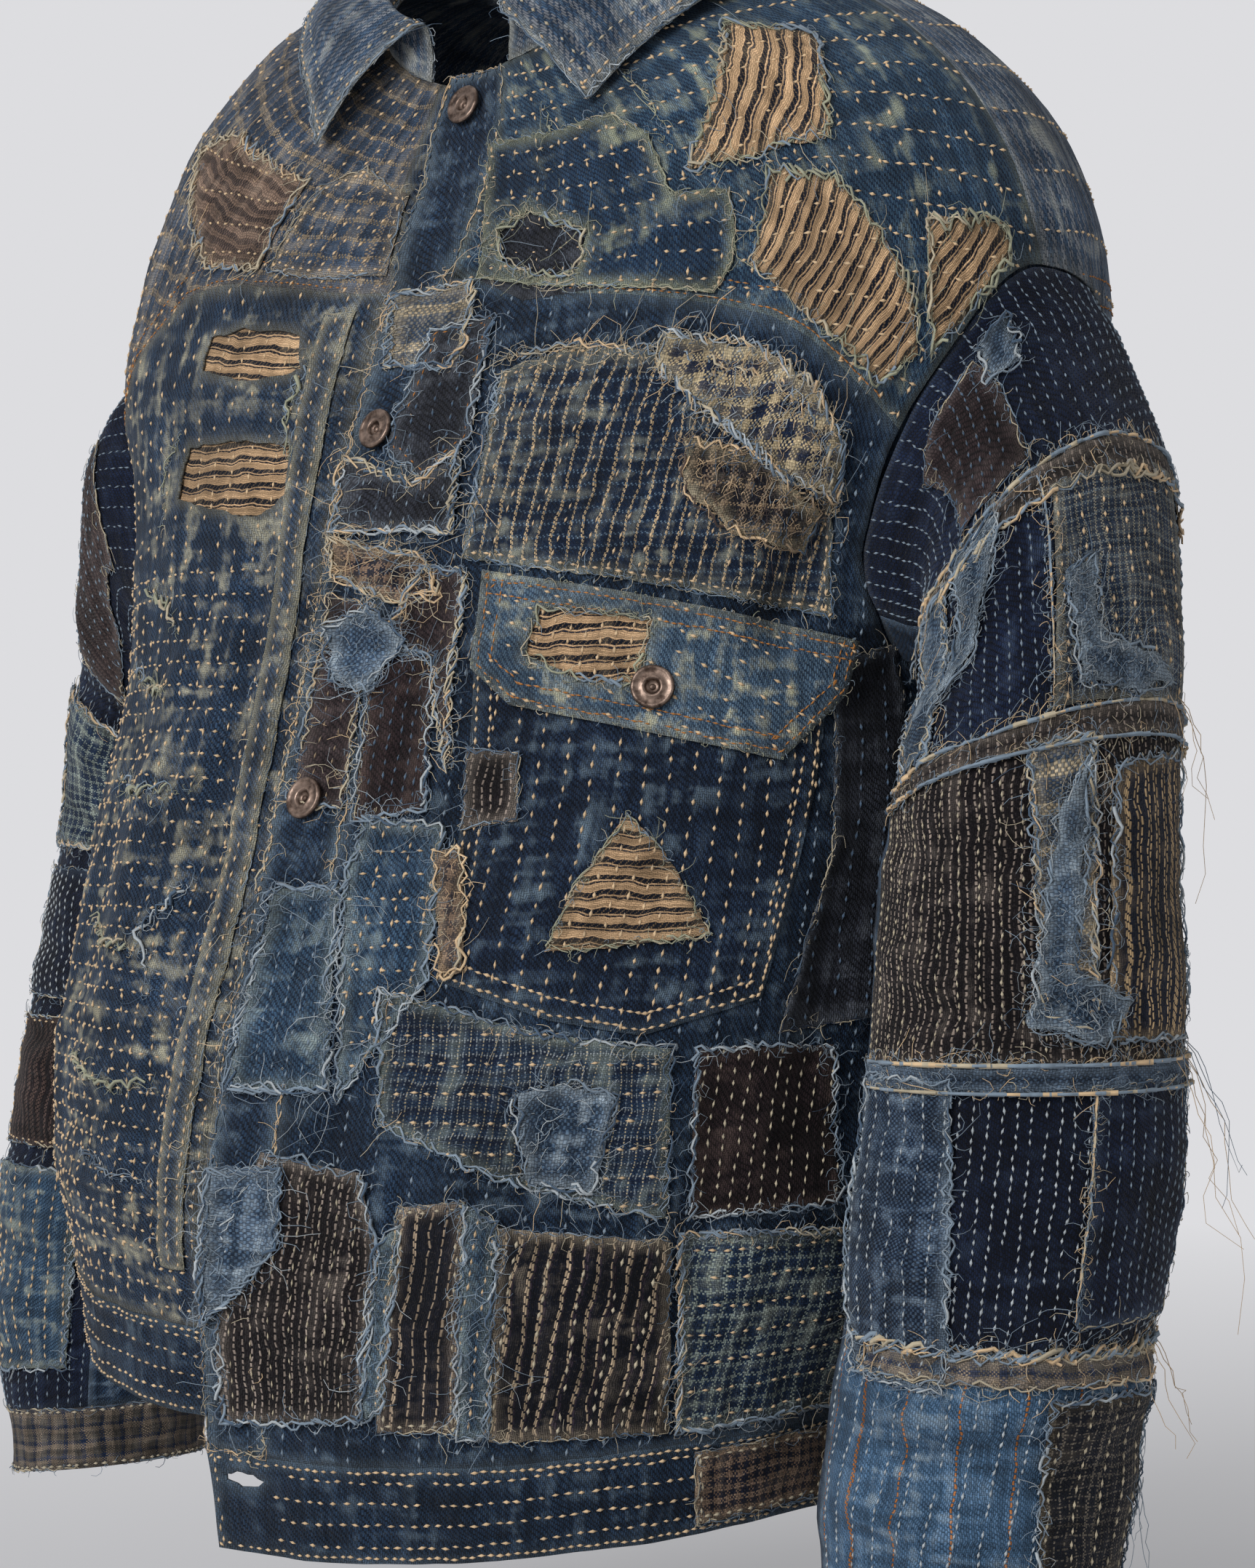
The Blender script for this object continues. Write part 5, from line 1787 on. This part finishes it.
@dataclass
class Studio:
    """A pale room with a soft key light from the wearer's right, and the camera, in metres and degrees."""

    azimuth: float = 40.0
    camera_back: float = 1.630
    camera_right: float = 0.020
    camera_z: float = -0.319
    lens: float = 87.7
    floor_z: float = -0.76
    floor_radius: float = 9.0
    floor_sides: int = 64
    floor_fade: tuple[float, float] = (0.9, 2.4)
    aim_z: float = -0.3
    world_light: float = 0.36
    # Name, how far right, ahead and up of the aim, side and power of each lamp.
    lamps: tuple[tuple[str, float, float, float, float, float], ...] = (
        ("key", -1.5, -1.9, 1.0, 1.3, 44.0), ("fill", 2.2, -1.6, 0.3, 1.8, 5.0),
        ("rim", -0.6, 2.2, 1.3, 1.4, 22.0),
    )
    backdrop: str = "dddde0"
    floor: str = "d2d2d5"

    def make(self) -> None:
        """Build the room, its lamps and the camera."""
        turn = math.radians(self.azimuth)
        right = np.array([math.cos(turn), math.sin(turn), 0.0])
        ahead = np.array([-math.sin(turn), math.cos(turn), 0.0])
        camera = bpy.data.cameras.new("camera")
        camera.lens, camera.sensor_width, camera.clip_end = self.lens, 36.0, 50.0
        seat = new_object("camera", camera)
        seat.location = right * self.camera_right - ahead * self.camera_back + np.array([0, 0, self.camera_z])
        seat.rotation_euler = Vector(ahead).to_track_quat("-Z", "Y").to_euler()
        bpy.context.scene.camera = seat
        aim = np.array([0.0, 0.0, self.aim_z])
        for name, aside, along, height, size, power in self.lamps:
            place = aim + right * aside + ahead * along + np.array([0, 0, height])
            light = bpy.data.lights.new(name, "AREA")
            light.size, light.energy = size, power
            lamp = new_object(name, light)
            lamp.location = place
            lamp.rotation_euler = Vector(aim - place).to_track_quat("-Z", "Y").to_euler()
        self.room()
        self.ground()
        bpy.context.scene.view_settings.view_transform = "Standard"

    def room(self) -> None:
        """The world, pale to the camera and dimmer as a light."""
        world = bpy.data.worlds.new("studio")
        world.use_nodes = True
        world.node_tree.nodes.clear()
        add = partial(add_node, world.node_tree)
        rays = add("LightPath").node.outputs
        seen = add("Math.MAXIMUM", rays["Is Camera Ray"], rays["Is Glossy Ray"])
        seen = add("Math.MAXIMUM", seen, rays["Is Transmission Ray"])
        lit = add("Background", linear("ffffff"), self.world_light)
        back = add("Background", linear(self.backdrop), 1.0)
        add("OutputWorld", add("MixShader", seen, lit, back))
        bpy.context.scene.world = world

    def ground(self) -> None:
        """The floor, matt paint that shows the eye a soft shadow and fades away into the world."""
        made, add = fresh_material("painted_floor")
        where = add("TexCoord").node.outputs["Object"]
        away = add("VectorMath.LENGTH", where).node.outputs["Value"]
        fade = add("MapRange", away, *self.floor_fade, 0.0, 1.0)
        paint = add("BsdfDiffuse", linear(self.floor))
        glow = add("Emission", linear(self.backdrop), 1.0)
        fade = add("Math.MULTIPLY", fade, add("LightPath").node.outputs["Is Camera Ray"])
        add("OutputMaterial", add("MixShader", fade, paint, glow))
        sides = self.floor_sides
        k = np.arange(sides)
        share = k / sides * 2 * math.pi
        ring = np.stack([np.cos(share), np.sin(share), 0 * share], -1) * self.floor_radius
        points = (np.vstack([ring, [[0, 0, 0.0]]]) + [0, 0, self.floor_z]) / MM
        mesh = make_mesh("floor", points, np.stack([np.full(sides, sides), k, (k + 1) % sides], -1))
        mesh.materials.append(made)
        new_object("floor", mesh)


def main() -> None:
    """Build the jacket, its threads and buttons, and the studio."""
    logging.basicConfig(level=logging.INFO, format="%(name)s %(message)s")
    for old in [o for o in bpy.data.objects if o.type in ("CAMERA", "LIGHT")]:
        bpy.data.objects.remove(old, do_unlink=True)

    areas = {
        "body_panels": body_panels(), "yokes": YOKE_PATCHES, "fronts": FRONT_PATCHES,
        "left_sleeve": left_sleeve(), "right_sleeve": right_sleeve(), "collar": collar(),
    }
    finishes: dict[str, Material] = {}
    thread = CottonThread().material()
    for area, pieces in areas.items():
        box = Lengths(area, thread)
        for cloth in pieces:
            if cloth.finish.name not in finishes:
                finishes[cloth.finish.name] = cloth.finish.material()
            cloth.make(finishes)
            box.sew(cloth)
            box.fray(cloth)
        if area == "left_sleeve":
            sleeve_dangles(box)
        box.make_stitches()
        box.make_fray()
    Buttons().make(StampedMetal().material())
    Studio().make()


if __name__ == "__main__":
    main()
